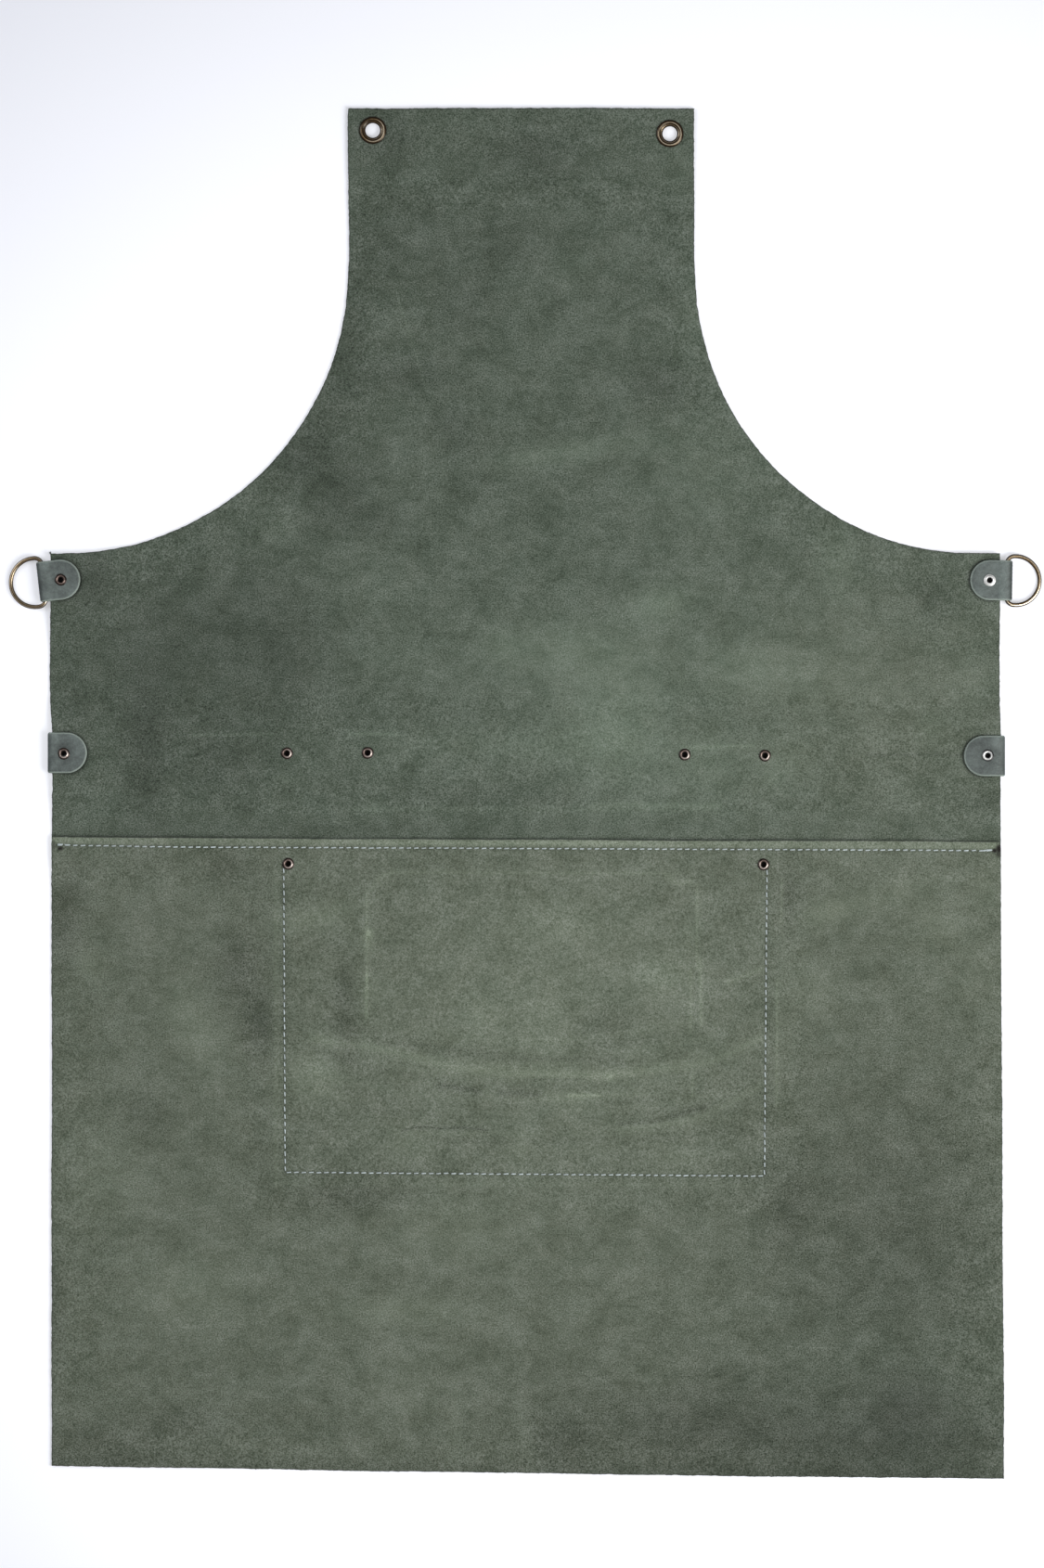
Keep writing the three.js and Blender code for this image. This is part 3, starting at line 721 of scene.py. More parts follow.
def nearest_distance(plan, points):
    """Distance of each plan point to the nearest of some points."""
    tree = KDTree(len(points))
    for number, point in enumerate(points):
        tree.insert((*point, 0), number)
    tree.balance()
    return np.array([tree.find((*point, 0))[2] for point in plan])


# Flat leather sheets

def grid_inside(outline, spacing, holes, taken):
    """A staggered grid of points inside an outline, clear of its holes and of points that are taken."""
    row_share = 0.866
    clear_share = 0.62
    low = outline.min(0)
    high = outline.max(0)
    ahead = np.roll(outline, -1, axis=0)
    found = []
    for number, y in enumerate(np.arange(low[1] + spacing / 2, high[1], spacing * row_share)):
        crossing = (outline[:, 1] <= y) != (ahead[:, 1] <= y)
        start = outline[crossing]
        end = ahead[crossing]
        share = (y - start[:, 1]) / (end[:, 1] - start[:, 1])
        cuts = np.sort(start[:, 0] + share * (end[:, 0] - start[:, 0]))
        xs = np.arange(low[0] + (number % 2) * spacing / 2, high[0], spacing)
        xs = xs[np.searchsorted(cuts, xs) % 2 == 1]
        found.append(np.column_stack((xs, np.full(len(xs), y))))
    points = np.concatenate(found)
    for hole in holes:
        away = np.hypot(points[:, 0] - hole.x, points[:, 1] - hole.y)
        points = points[away > hole.radius + clear_share * spacing]
    return points[nearest_distance(points, taken) > clear_share * spacing]


def triangles_between(points, loops, holes):
    """Triangles over points, inside the first loop and outside the holes.

    A loop is a list of point numbers.
    """
    inside_only = 1
    merge = 1e-7
    hole_share = 0.97
    corners = [Vector(point) for point in points]
    edges = [(a, b) for loop in loops for a, b in zip(loop, np.roll(loop, -1))]
    _, _, made, came_from, _, _ = delaunay_2d_cdt(corners, edges, [], inside_only, merge)
    origin = np.array([sources[0] for sources in came_from])
    faces = origin[np.array(made)]
    middles = points[faces].mean(1)
    kept = np.ones(len(faces), bool)
    for hole in holes:
        kept &= np.hypot(middles[:, 0] - hole.x, middles[:, 1] - hole.y) > hole.radius * hole_share
    return faces[kept]


class LeatherSheet:
    """A sheet of leather in its flat plan: points with a place through the thickness, and faces."""

    def __init__(self, edge, holes, spacing, back_spacing, bevel, fine=None, back_fine=None):
        self.plan = np.empty((0, 2))
        self.through = np.empty(0)
        self.cut = np.empty(0)
        self.faces = np.empty((0, 3), int)
        self.sides = np.empty(0, int)
        insets = [edge.points - edge.out * bevel * rim.inset for rim in RIMS]
        rims = [self.add_points(inset, rim.through, rim.cut) for inset, rim in zip(insets, RIMS)]
        for upper, lower in zip(rims[:-1], rims[1:]):
            self.join_loops(upper, lower)
        upper_loops = [rims[0]]
        lower_loops = [rims[-1]]
        for hole in holes:
            turn = -np.linspace(0, 2 * math.pi, hole.sides, endpoint=False)
            circle = circle_points(hole.x, hole.y, hole.radius, turn)
            upper_loops.append(self.add_points(circle, 1, 0))
            lower_loops.append(self.add_points(circle, -1, 0))
            self.join_loops(upper_loops[-1], lower_loops[-1])
        self.fill(upper_loops, holes, spacing, fine, 1)
        self.fill(lower_loops, holes, back_spacing, back_fine, -1)

    def add_points(self, plan, through, cut):
        numbers = np.arange(len(self.plan), len(self.plan) + len(plan))
        self.plan = np.concatenate((self.plan, plan))
        self.through = np.concatenate((self.through, np.full(len(plan), through)))
        self.cut = np.concatenate((self.cut, np.full(len(plan), cut)))
        return numbers

    def add_faces(self, faces, side):
        self.faces = np.concatenate((self.faces, faces))
        self.sides = np.concatenate((self.sides, np.full(len(faces), side)))

    def join_loops(self, upper, lower):
        """A wall between two loops of like length."""
        next_upper = np.roll(upper, -1)
        next_lower = np.roll(lower, -1)
        self.add_faces(np.column_stack((upper, lower, next_lower)), 0)
        self.add_faces(np.column_stack((upper, next_lower, next_upper)), 0)

    def fill(self, loops, holes, spacing, fine, side):
        """One face of the sheet, with extra points where its surface has fine shape."""
        border = np.concatenate(loops)
        taken = self.plan[border]
        if fine is not None:
            taken = np.concatenate((taken, fine))
        inner = grid_inside(self.plan[loops[0]], spacing, holes, taken)
        if fine is not None:
            inner = np.concatenate((inner, fine))
        numbers = np.concatenate((border, self.add_points(inner, side, 0)))
        local = {number: place for place, number in enumerate(border)}
        local_loops = [[local[number] for number in loop] for loop in loops]
        faces = numbers[triangles_between(self.plan[numbers], local_loops, holes)]
        self.add_faces(faces if side > 0 else faces[:, ::-1], side)


def thinned(points, spacing):
    """Points with those left out that share a cell with an earlier one."""
    cells = (points / spacing).round().astype(int)
    first = np.unique(cells, axis=0, return_index=True)[1]
    return points[np.sort(first)]


# Meshes

def add_piece(name, points, faces, materials, sides=None, attributes=None):
    """A smooth-shaded mesh object with its attributes; faces on side -1 take the second material."""
    mesh = bpy.data.meshes.new(name)
    corners = np.asarray(points).tolist()
    mesh.from_pydata(corners, [], faces if isinstance(faces, list) else faces.tolist())
    for material in materials:
        mesh.materials.append(material)
    if sides is not None:
        mesh.polygons.foreach_set("material_index", (np.asarray(sides) < 0).astype(np.int32))
    for key, values in (attributes or {}).items():
        layer = mesh.attributes.new(key, "FLOAT", "POINT")
        layer.data.foreach_set("value", np.asarray(values, np.float32))
    mesh.shade_smooth()
    mesh.validate()
    piece = bpy.data.objects.new(name, mesh)
    bpy.context.scene.collection.objects.link(piece)
    return piece


def settle(piece, body, nodes=()):
    """Fixes a piece to its body and hides the nodes that it stands for."""
    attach(piece, body)
    if nodes:
        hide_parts(*nodes)
    return piece


# Wear of a turned piece, with a painted highlight on one side: how bright, how uneven, the angle of its
# brighter side, the radius that is bare
Wear = namedtuple("Wear", "bright uneven toward bare")


def lathe(profile, sides, middle, roundness, seed, wear):
    """A turned piece: points, faces and crest, which is brighter on one side with a painted highlight.

    The profile runs from axis to axis, or else it closes.
    """
    wander = 35
    rng = np.random.default_rng(seed)
    turn = np.linspace(0, 2 * math.pi, sides, endpoint=False)
    phases = rng.uniform(0, 2 * math.pi, 3)
    uneven = sum(np.cos((lobe + 2) * turn + phase) for lobe, phase in enumerate(phases)) * roundness
    highlight_angle = math.radians(rng.normal(wear.toward, wander))
    points = []
    crest = []
    rings = []
    for row in profile:
        count = sides if row.radius > 0 else 1
        rings.append(len(points) + np.arange(count))
        for angle, wobble in zip(turn[:count], uneven[:count]):
            radius = row.radius * (1 + wobble)
            points.append((radius * math.cos(angle), radius * math.sin(angle), row.height))
            crest.append(row.crest * (1 + wear.uneven * math.cos(angle - highlight_angle)))
    if profile[0].radius > 0:
        rings.append(rings[0])
    faces = []
    for low, high in zip(rings[:-1], rings[1:]):
        walls = np.column_stack(np.broadcast_arrays(low, np.roll(low, -1), np.roll(high, -1), high))
        faces += [list(dict.fromkeys(wall)) for wall in walls.tolist()]
    return np.array(points) * MM + middle, faces, np.array(crest) * wear.bright


def rounded_profile(rows, parts):
    """A turned profile with more rows, on a smooth line through the given ones."""
    rows = np.array(rows, float)
    at = steps_along(rows[:, :2])
    spans = [np.linspace(low, high, parts, endpoint=False) for low, high in zip(at[:-1], at[1:])]
    wanted = np.append(np.concatenate(spans), at[-1])
    share = np.column_stack([np.interp(wanted, at, rows[:, column]) for column in range(3)])
    eased = share.copy()
    eased[1:-1] = 0.25 * share[:-2] + 0.5 * share[1:-1] + 0.25 * share[2:]
    return [Turn(*row) for row in eased]


# Looks of the leather over the plan

def cloud_tone(plan):
    """Tone of the suede from its clouds, in grey steps."""
    tone = np.zeros(len(plan))
    for cloud in CLOUDS:
        turn = math.radians(cloud.turn)
        away = plan / MM - (cloud.x, cloud.y)
        across = away[:, 0] * math.cos(turn) + away[:, 1] * math.sin(turn)
        along = away[:, 1] * math.cos(turn) - away[:, 0] * math.sin(turn)
        tone += cloud.tone * np.exp(-((across / cloud.wide) ** 2) - (along / cloud.high) ** 2)
    return tone


def ridge_shape(plan, ridges):
    """Height and tone of the ridges pressed into the leather."""
    step = 8 * MM
    height = np.zeros(len(plan))
    tone = np.zeros(len(plan))
    for ridge in ridges:
        line = smooth_line(np.array(ridge.points) * MM, step)
        share = np.exp(-((line_distance(plan, line) / (ridge.wide * MM)) ** 2))
        height += ridge.height * MM * share
        tone += ridge.tone * share
    return height, tone


def scorch_at(plan):
    burnt = np.zeros(len(plan))
    for spot in SCORCHES:
        away = plan / MM - (spot.x, spot.y)
        share = np.exp(-((away[:, 0] / spot.wide) ** 2 + (away[:, 1] / spot.high) ** 2) ** 2)
        burnt = np.maximum(burnt, spot.strength * share)
    return burnt


def scorch_points(node):
    """Close points over the scorches, clear of a panel's edge."""
    step = 0.7
    clear = 1.1 * MM
    edge = panel_edge(node)
    found = []
    for spot in SCORCHES:
        xs = np.arange(-2 * spot.wide, 2 * spot.wide, step) + spot.x
        ys = np.arange(-2 * spot.high, 2 * spot.high, step) + spot.y
        found.append(np.stack(np.meshgrid(xs, ys), axis=-1).reshape(-1, 2) * MM)
    found = np.concatenate(found)
    nearest = np.array([np.argmin(np.hypot(*(edge.points - point).T)) for point in found])
    inside = ((edge.points[nearest] - found) * edge.out[nearest]).sum(1)
    return found[inside > clear]


def stitch_groove(plan, rows):
    """How deep the thread has pulled the leather in, from 0 to 1."""
    half_width = 1.1 * MM
    groove = np.zeros(len(plan))
    for row in rows:
        line = np.array([row.start, row.end]) * MM
        groove = np.maximum(groove, np.exp(-((line_distance(plan, line) / half_width) ** 2)))
    return groove


def as_factor(tone):
    """Grey steps as a factor on the colour."""
    middle_grey = 97
    screen_power = 2.2
    darkest = -60
    lightest = 90
    return ((middle_grey + np.clip(tone, darkest, lightest)) / middle_grey) ** screen_power


def stitch_rows_beside(rows, offsets):
    step = 0.8 * MM
    lines = [np.array([row.start, row.end]) * MM for row in rows]
    return np.concatenate([rows_beside(line, step, np.array(offsets) * MM) for line in lines])


def ridge_rows(ridges):
    step = 1.6 * MM
    shares = np.array((-1.2, 0, 1.2))
    return np.concatenate([
        rows_beside(np.array(ridge.points) * MM, step, shares * ridge.wide * MM) for ridge in ridges
    ])


# Materials

# Numbers of a Mix node's sockets for colours
MIX_SHARE = 0
MIX_FIRST = 6
MIX_SECOND = 7
MIX_RESULT = 2
BLACK = (0, 0, 0, 1)
WHITE = (1, 1, 1, 1)


def add_node(tree, kind, settings=None, inputs=None):
    """A shader node with its settings, and its inputs set or linked."""
    made = tree.nodes.new("ShaderNode" + kind)
    for key, value in (settings or {}).items():
        setattr(made, key, value)
    for key, value in (inputs or {}).items():
        if isinstance(value, bpy.types.NodeSocket):
            tree.links.new(value, made.inputs[key])
        else:
            made.inputs[key].default_value = value
    return made


def math_node(tree, operation, first, second):
    return add_node(tree, "Math", {"operation": operation}, {0: first, 1: second}).outputs[0]


def mixed(tree, share, first, second):
    inputs = {MIX_SHARE: share, MIX_FIRST: first, MIX_SECOND: second}
    return add_node(tree, "Mix", {"data_type": "RGBA"}, inputs).outputs[MIX_RESULT]


def spread(tree, value, low, high, to_low=0.0, to_high=1.0):
    """A value moved from one range to another, and held in it."""
    inputs = {"Value": value, "From Min": low, "From Max": high, "To Min": to_low, "To Max": to_high}
    return add_node(tree, "MapRange", None, inputs).outputs["Result"]


def swing(tree, value, size):
    """A value round a half, made into one round zero of the given size."""
    return math_node(tree, "MULTIPLY", math_node(tree, "SUBTRACT", value, 0.5), size)


def shaded(tree, colour, value, saturation=1.0):
    """A colour made lighter or darker, and more or less pure."""
    inputs = {"Color": colour, "Value": value, "Saturation": saturation}
    return add_node(tree, "HueSaturation", None, inputs).outputs["Color"]


def stretched(tree, place, turn, scale):
    """Coordinates scaled along each axis and then turned about Z."""
    inputs = {"Vector": place, "Rotation": (0, 0, turn), "Scale": scale}
    return add_node(tree, "Mapping", None, inputs).outputs["Vector"]


def attribute(tree, name):
    return add_node(tree, "Attribute", {"attribute_name": name}).outputs["Fac"]


def noise(tree, place, scale, detail=2.0, roughness=0.5, distortion=0.0):
    inputs = {
        "Vector": place,
        "Scale": scale,
        "Detail": detail,
        "Roughness": roughness,
        "Distortion": distortion,
    }
    return add_node(tree, "TexNoise", None, inputs).outputs["Fac"]


def new_group(name, inputs, outputs):
    """An empty node group with named sockets: its tree, its inputs and its output node."""
    tree = bpy.data.node_groups.new(name, "ShaderNodeTree")
    for key, kind, value in inputs:
        socket = tree.interface.new_socket(key, in_out="INPUT", socket_type=kind)
        if value is not None:
            socket.default_value = value
    for key, kind in outputs:
        tree.interface.new_socket(key, in_out="OUTPUT", socket_type=kind)
    return tree, tree.nodes.new("NodeGroupInput").outputs, tree.nodes.new("NodeGroupOutput").inputs


def add_group(tree, group, inputs):
    return add_node(tree, "Group", {"node_tree": group}, inputs).outputs


FLOAT = "NodeSocketFloat"
VECTOR = "NodeSocketVector"


@lru_cache(maxsize=None)
def hide_mottle_group():
    """Blotches and brush strokes of dyed hide at many sizes, as a value round 1 with the given spread."""
    tree, given, out = new_group(
        "Hide mottle",
        [("Vector", VECTOR, None), ("Scale", FLOAT, 44.0), ("Spread", FLOAT, 0.08)],
        [("Mottle", FLOAT)],
    )
    brushed = stretched(tree, given["Vector"], -0.15, (0.86, 1.0, 1.0))
    slanted = stretched(tree, given["Vector"], 0.55, (0.3, 1.5, 1.0))
    blotches = noise(tree, brushed, given["Scale"], 4.0, 0.88, 0.3)
    streaks = noise(tree, slanted, math_node(tree, "MULTIPLY", given["Scale"], 4.0), 2.0, 0.6)
    uneven = math_node(tree, "ADD", swing(tree, blotches, 18.0), swing(tree, streaks, 2.5))
    scaled = math_node(tree, "MULTIPLY", uneven, given["Spread"])
    tree.links.new(math_node(tree, "ADD", scaled, 1.0), out["Mottle"])
    return tree


@lru_cache(maxsize=None)
def nap_group():
    """Short nap of suede: a speckle round 1 with the given spread, dark pores, and a height for bump."""
    tree, given, out = new_group(
        "Suede nap",
        [("Vector", VECTOR, None), ("Spread", FLOAT, 0.15), ("Pores", FLOAT, 0.3)],
        [("Speckle", FLOAT), ("Height", FLOAT)],
    )
    tufts = noise(tree, given["Vector"], 1150.0, 2.0, 0.6)
    clumps = noise(tree, given["Vector"], 190.0, 2.0, 0.6)
    cells = add_node(tree, "TexVoronoi", None, {"Vector": given["Vector"], "Scale": 520.0})
    pits = spread(tree, cells.outputs["Distance"], 0.08, 0.36, 1.0, 0.0)
    thick = spread(tree, clumps, 0.4, 0.62, 1.0, 0.1)
    pores = math_node(tree, "MULTIPLY", pits, thick)
    light = math_node(tree, "MULTIPLY", swing(tree, tufts, 9.0), given["Spread"])
    dark = math_node(tree, "MULTIPLY", pores, given["Pores"])
    bright = math_node(tree, "ADD", light, 1.0)
    tree.links.new(math_node(tree, "SUBTRACT", bright, dark), out["Speckle"])
    sunk = math_node(tree, "MULTIPLY", pores, 0.5)
    tree.links.new(math_node(tree, "SUBTRACT", tufts, sunk), out["Height"])
    return tree


@lru_cache(maxsize=None)
def grain_group():
    """Pebbled grain of finished leather: a height for bump, and the hollows between the pebbles."""
    tree, given, out = new_group(
        "Leather grain",
        [("Vector", VECTOR, None), ("Scale", FLOAT, 900.0)],
        [("Height", FLOAT), ("Hollows", FLOAT)],
    )
    bent = noise(tree, given["Vector"], 400.0, 2.0)
    scale = math_node(tree, "ADD", given["Scale"], math_node(tree, "MULTIPLY", bent, 4.0))
    settings = {"feature": "DISTANCE_TO_EDGE"}
    cells = add_node(tree, "TexVoronoi", settings, {"Vector": given["Vector"], "Scale": scale})
    hollows = spread(tree, cells.outputs["Distance"], 0.0, 0.22, 1.0, 0.0)
    pebbles = spread(tree, cells.outputs["Distance"], 0.0, 0.3)
    tree.links.new(math_node(tree, "ADD", pebbles, math_node(tree, "MULTIPLY", bent, 0.5)), out["Height"])
    tree.links.new(hollows, out["Hollows"])
    return tree


@lru_cache(maxsize=None)
def antique_group():
    """Antiqued metal: how far the dark finish is rubbed off or painted with a highlight, and a small
    unevenness for bump.
    """
    tree, given, out = new_group(
        "Antique rub",
        [("Vector", VECTOR, None), ("Crest", FLOAT, 0.0)],
        [("Rub", FLOAT), ("Height", FLOAT)],
    )
    cloudy = noise(tree, given["Vector"], 420.0, 3.0, 0.6)
    scratches = noise(tree, given["Vector"], 1900.0, 2.0, 0.6)
    uneven = math_node(tree, "ADD", swing(tree, cloudy, 0.35), swing(tree, scratches, 0.3))
    worn = math_node(tree, "ADD", given["Crest"], uneven)
    tree.links.new(spread(tree, worn, 0.18, 0.95), out["Rub"])
    tree.links.new(scratches, out["Height"])
    return tree


def new_material(name):
    """An empty node material: its tree, its shader and its object coordinates."""
    material = bpy.data.materials.new(name)
    material.use_nodes = True
    tree = material.node_tree
    shader = tree.nodes["Principled BSDF"]
    place = add_node(tree, "TexCoord").outputs["Object"]
    return material, tree, shader, place


def add_bump(tree, shader, height, strength, distance):
    bump = add_node(tree, "Bump", None, {"Strength": strength, "Distance": distance, "Height": height})
    tree.links.new(bump.outputs["Normal"], shader.inputs["Normal"])


def rgba(colour):
    return (*colour, 1.0)


@lru_cache(maxsize=None)
def suede_material():
    look = bpy.context.scene.apron_leather
    material, tree, shader, place = new_material("suede")
    tone = attribute(tree, "tone")
    blotchy = spread(tree, tone, 0.85, 1.25, 0.1, 0.07)
    mottle = add_group(tree, hide_mottle_group(), {"Vector": place, "Spread": blotchy})["Mottle"]
    pores = spread(tree, tone, 0.7, 1.2, 0.36, 0.1)
    rough = spread(tree, tone, 0.85, 1.25, 0.37, 0.25)
    nap = add_group(tree, nap_group(), {"Vector": place, "Spread": rough, "Pores": pores})
    pile = math_node(tree, "MULTIPLY", mottle, nap["Speckle"])
    value = math_node(tree, "MULTIPLY", tone, pile)
    purity = spread(tree, pile, 0.5, 1.5, 1.3, 0.7)
    hue = swing(tree, noise(tree, place, 60.0, 3.0, 0.6), 0.6)
    warm = spread(tree, math_node(tree, "ADD", attribute(tree, "warmth"), hue), 0.0, 1.0)
    plain = mixed(tree, warm, rgba(look.suede), rgba(look.suede_warm))
    dyed = shaded(tree, plain, value, purity)
    # The raw edge's walls are darkened as painted shade
    cut = math_node(tree, "MULTIPLY", attribute(tree, "cut"), 0.7)
    edged = mixed(tree, cut, dyed, rgba([channel * 0.3 for channel in look.suede]))
    scorched = mixed(tree, attribute(tree, "scorch"), edged, rgba(look.scorch))
    tree.links.new(scorched, shader.inputs["Base Color"])
    tree.links.new(spread(tree, nap["Height"], 0.2, 0.8, 0.98, 0.86), shader.inputs["Roughness"])
    shader.inputs["Specular IOR Level"].default_value = 0.2
    shader.inputs["Sheen Weight"].default_value = 0.12
    shader.inputs["Sheen Roughness"].default_value = 0.6
    add_bump(tree, shader, nap["Height"], 0.5, 0.35 * MM)
    return material


@lru_cache(maxsize=None)
def smooth_leather_material():
    look = bpy.context.scene.apron_leather
    material, tree, shader, place = new_material("smooth_leather")
    mottling = {"Vector": place, "Scale": 70.0, "Spread": 0.13}
    mottle = add_group(tree, hide_mottle_group(), mottling)["Mottle"]
    grain = add_group(tree, grain_group(), {"Vector": place, "Scale": 950.0})
    speckle = noise(tree, place, 900.0, 2.0, 0.7)
    light = math_node(tree, "MULTIPLY", mottle, spread(tree, speckle, 0.2, 0.8, 0.82, 1.18))
    light = math_node(tree, "MULTIPLY", light, attribute(tree, "tone"))
    value = math_node(tree, "MULTIPLY", light, spread(tree, grain["Hollows"], 0.0, 1.0, 1.0, 0.86))
    dyed = shaded(tree, rgba(look.smooth), value)
    fuzz = noise(tree, place, 1500.0, 2.0, 0.7)
    cut = math_node(tree, "MULTIPLY", attribute(tree, "cut"), spread(tree, fuzz, 0.3, 0.6, 0.55, 1.0))
    tree.links.new(mixed(tree, cut, dyed, rgba(look.cut_edge)), shader.inputs["Base Color"])
    tree.links.new(spread(tree, mottle, 0.7, 1.3, 0.62, 0.48), shader.inputs["Roughness"])
    shader.inputs["Specular IOR Level"].default_value = 0.35
    add_bump(tree, shader, grain["Height"], 0.25, 0.12 * MM)
    return material


# Colour of the painted shade in the bores of the rivets
BORE_PAINTED_SHADE = (0.003, 0.003, 0.003)

# A metal: what its colours are named after, its roughness where rubbed, and how metallic it is there
Finish = namedtuple("Finish", "metal roughness shine")
FINISHES = {
    "antique_brass": Finish("brass", 0.3, 0.9),
    "antique_copper": Finish("copper", 0.36, 0.8),
    "nickel": Finish("nickel", 0.45, 0.5),
}


@lru_cache(maxsize=None)
def metal_material(slot):
    """Metal under a dark coat: the coat is rubbed thin to a warm tone and then down to the bright metal,
    and painted highlights are laid on the same way.

    A crest below zero is a hollow painted black as shade.
    """
    look = bpy.context.scene.apron_metal
    finish = FINISHES[slot]
    shades = [finish.metal + ending for ending in ("_bright", "_warm", "_dark")]
    bright, warm, dark = (rgba(getattr(look, shade)) for shade in shades)
    material, tree, shader, place = new_material(slot)
    crest = attribute(tree, "crest")
    antique = add_group(tree, antique_group(), {"Vector": place, "Crest": crest})
    rub = antique["Rub"]
    hollow = spread(tree, crest, -1.0, 0.0, 1.0, 0.0)
    thin = mixed(tree, spread(tree, rub, 0.0, 0.55), dark, warm)
    bare = mixed(tree, spread(tree, rub, 0.55, 1.0), thin, bright)
    tree.links.new(mixed(tree, hollow, bare, rgba(BORE_PAINTED_SHADE)), shader.inputs["Base Color"])
    tree.links.new(spread(tree, rub, 0.05, 0.5, 0.0, finish.shine), shader.inputs["Metallic"])
    polish = spread(tree, rub, 0.0, 0.6, 0.22, finish.roughness)
    tree.links.new(math_node(tree, "MAXIMUM", polish, hollow), shader.inputs["Roughness"])
    shader.inputs["Specular IOR Level"].default_value = 0.5
    shader.inputs["Specular Tint"].default_value = bright
    add_bump(tree, shader, antique["Height"], 0.12, 0.05 * MM)
    return material


@lru_cache(maxsize=None)
def thread_material():
    look = bpy.context.scene.apron_thread
    material, tree, shader, place = new_material("thread")
    hairs = noise(tree, place, 2600.0, 2.0, 0.6)
    soil = noise(tree, place, 45.0, 2.0, 0.6)
    fine = spread(tree, hairs, 0.2, 0.8, 0.8, 1.15)
    clean = spread(tree, soil, 0.3, 0.7, 0.72, 1.1)
    dyed = shaded(tree, rgba(look.colour), math_node(tree, "MULTIPLY", fine, clean))
    tree.links.new(dyed, shader.inputs["Base Color"])
    tree.links.new(spread(tree, hairs, 0.2, 0.8, 0.6, 0.85), shader.inputs["Roughness"])
    shader.inputs["Sheen Weight"].default_value = 0.2
    add_bump(tree, shader, hairs, 0.3, 0.05 * MM)
    return material


def floor_material():
    """A pale floor, lit over white near the apron, and clear from below."""
    look = bpy.context.scene.apron_stage
    material, tree, shader, place = new_material("pale_floor")
    shader.inputs["Base Color"].default_value = rgba(look.floor)
    shader.inputs["Roughness"].default_value = 0.9
    shader.inputs["Specular IOR Level"].default_value = 0.1
    fades_from, fades_to = 0.45, 0.75
    rises_from, rises_to = 0.85, 2.4
    distance = add_node(tree, "VectorMath", {"operation": "DISTANCE"}, {0: place, 1: look.floor_middle})
    away = distance.outputs["Value"]
    near = spread(tree, away, fades_from, fades_to, look.floor_glow, look.corner_glow)
    far = spread(tree, away, rises_from, rises_to, 0.0, look.far_glow)
    glow = math_node(tree, "ADD", near, far)
    seen = math_node(tree, "MULTIPLY", glow, add_node(tree, "LightPath").outputs["Is Camera Ray"])
    tree.links.new(mixed(tree, seen, BLACK, WHITE), shader.inputs["Emission Color"])
    shader.inputs["Emission Strength"].default_value = 1.0
    clear = add_node(tree, "BsdfTransparent")
    behind = add_node(tree, "NewGeometry").outputs["Backfacing"]
    both = add_node(tree, "MixShader", None, {0: behind, 1: shader.outputs[0], 2: clear.outputs[0]})
    tree.links.new(both.outputs[0], tree.nodes["Material Output"].inputs["Surface"])
    return material


# The panels

OUTLINE_STEP = 1.5 * MM
PANEL_SEEDS = {"bib_panel": 11, "skirt_panel": 23, "front_pocket": 37}
SKIRT_ROWS = SEAM_ROWS + POCKET_ROWS
GROOVE_DEPTH = 0.32 * MM
FRONT_GROOVE = 0.6 * MM
FRONT_SINK = 0.25 * MM

# Close points on a panel's back and front: cells that keep one point each, and millimetres beside a row
BACK_CELL = 0.5 * MM
FRONT_CELL = 0.4 * MM
BACK_OFFSETS = (-1.7, -0.85, 0, 0.85, 1.7)
FRONT_OFFSETS = (-1.4, -0.6, 0, 0.6, 1.4)

ARMHOLE_TIP = 149 * MM

# Where the panels' edges are free to curl: heights, and the bib's half width clear of the tabs
SKIRT_FREE_BELOW = -75
BIB_FREE_ABOVE = 60
BIB_FREE_BELOW = 385
BIB_FREE_HALF_WIDTH = 262

# How much stronger a ridge's tone is once it is rubbed, with its painted light and shade, and the tone of
# each panel under its clouds
RUB_AND_PAINTED_LIGHT_GAIN = 1.6
BIB_BASE = -4
SKIRT_BASE = 2

# Bands of tone along edges that are nearly level: height in the middle, slope, half width, tone
Band = namedtuple("Band", "y slope wide tone")
LAP_SHADE = Band(-28.6, -0.005, 0.8, -18)
# The pale strip below the lap's edge: rubbed leather, with a painted highlight along the raised edge
LAP_PALE = Band(-30.9, -0.006, 2.5, 28)
HEM_SHADE = Band(-428, -0.0145, 6, -7)

# Shade on the bib round the tabs, and on the skirt at the needle holes
TAB_SHADE = 30
TAB_SHADE_REACH = 1.2 * MM
NEEDLE_SHADE = 15


@lru_cache(maxsize=None)
def panel_edge(name):
    """A panel's raw edge, anticlockwise from above."""
    smooth = smooth_loop(rim_loops(name)[0], OUTLINE_STEP)
    return ragged_edge(smooth, OUTLINE_STEP, PANEL_SEEDS[name])


def fading(values, middle, width):
    """From 1 to 0 as values pass a middle, over a few of that width."""
    return 1 / (1 + np.exp((values - middle) / width))


def edge_lift(plan, name):
    """How far a panel's free edge curls up from the surface, clear of the seam, tabs and eyelets."""
    reach = 26 * MM
    highest = 0.5 * MM
    away = nearest_distance(plan, panel_edge(name).points)
    x, y = (plan / MM).T
    wave = 0.5 + 0.3 * np.sin(x / 41 + y / 67) + 0.2 * np.sin(y / 23 - x / 31)
    if name == "skirt_panel":
        free = fading(y, SKIRT_FREE_BELOW, 9)
    else:
        above = fading(-y, -BIB_FREE_ABOVE, 6)
        below = fading(y, BIB_FREE_BELOW, 5)
        free = above * below * (np.abs(x) < BIB_FREE_HALF_WIDTH)
    return highest * np.exp(-((away / reach) ** 2)) * np.clip(wave, 0, 1) * free


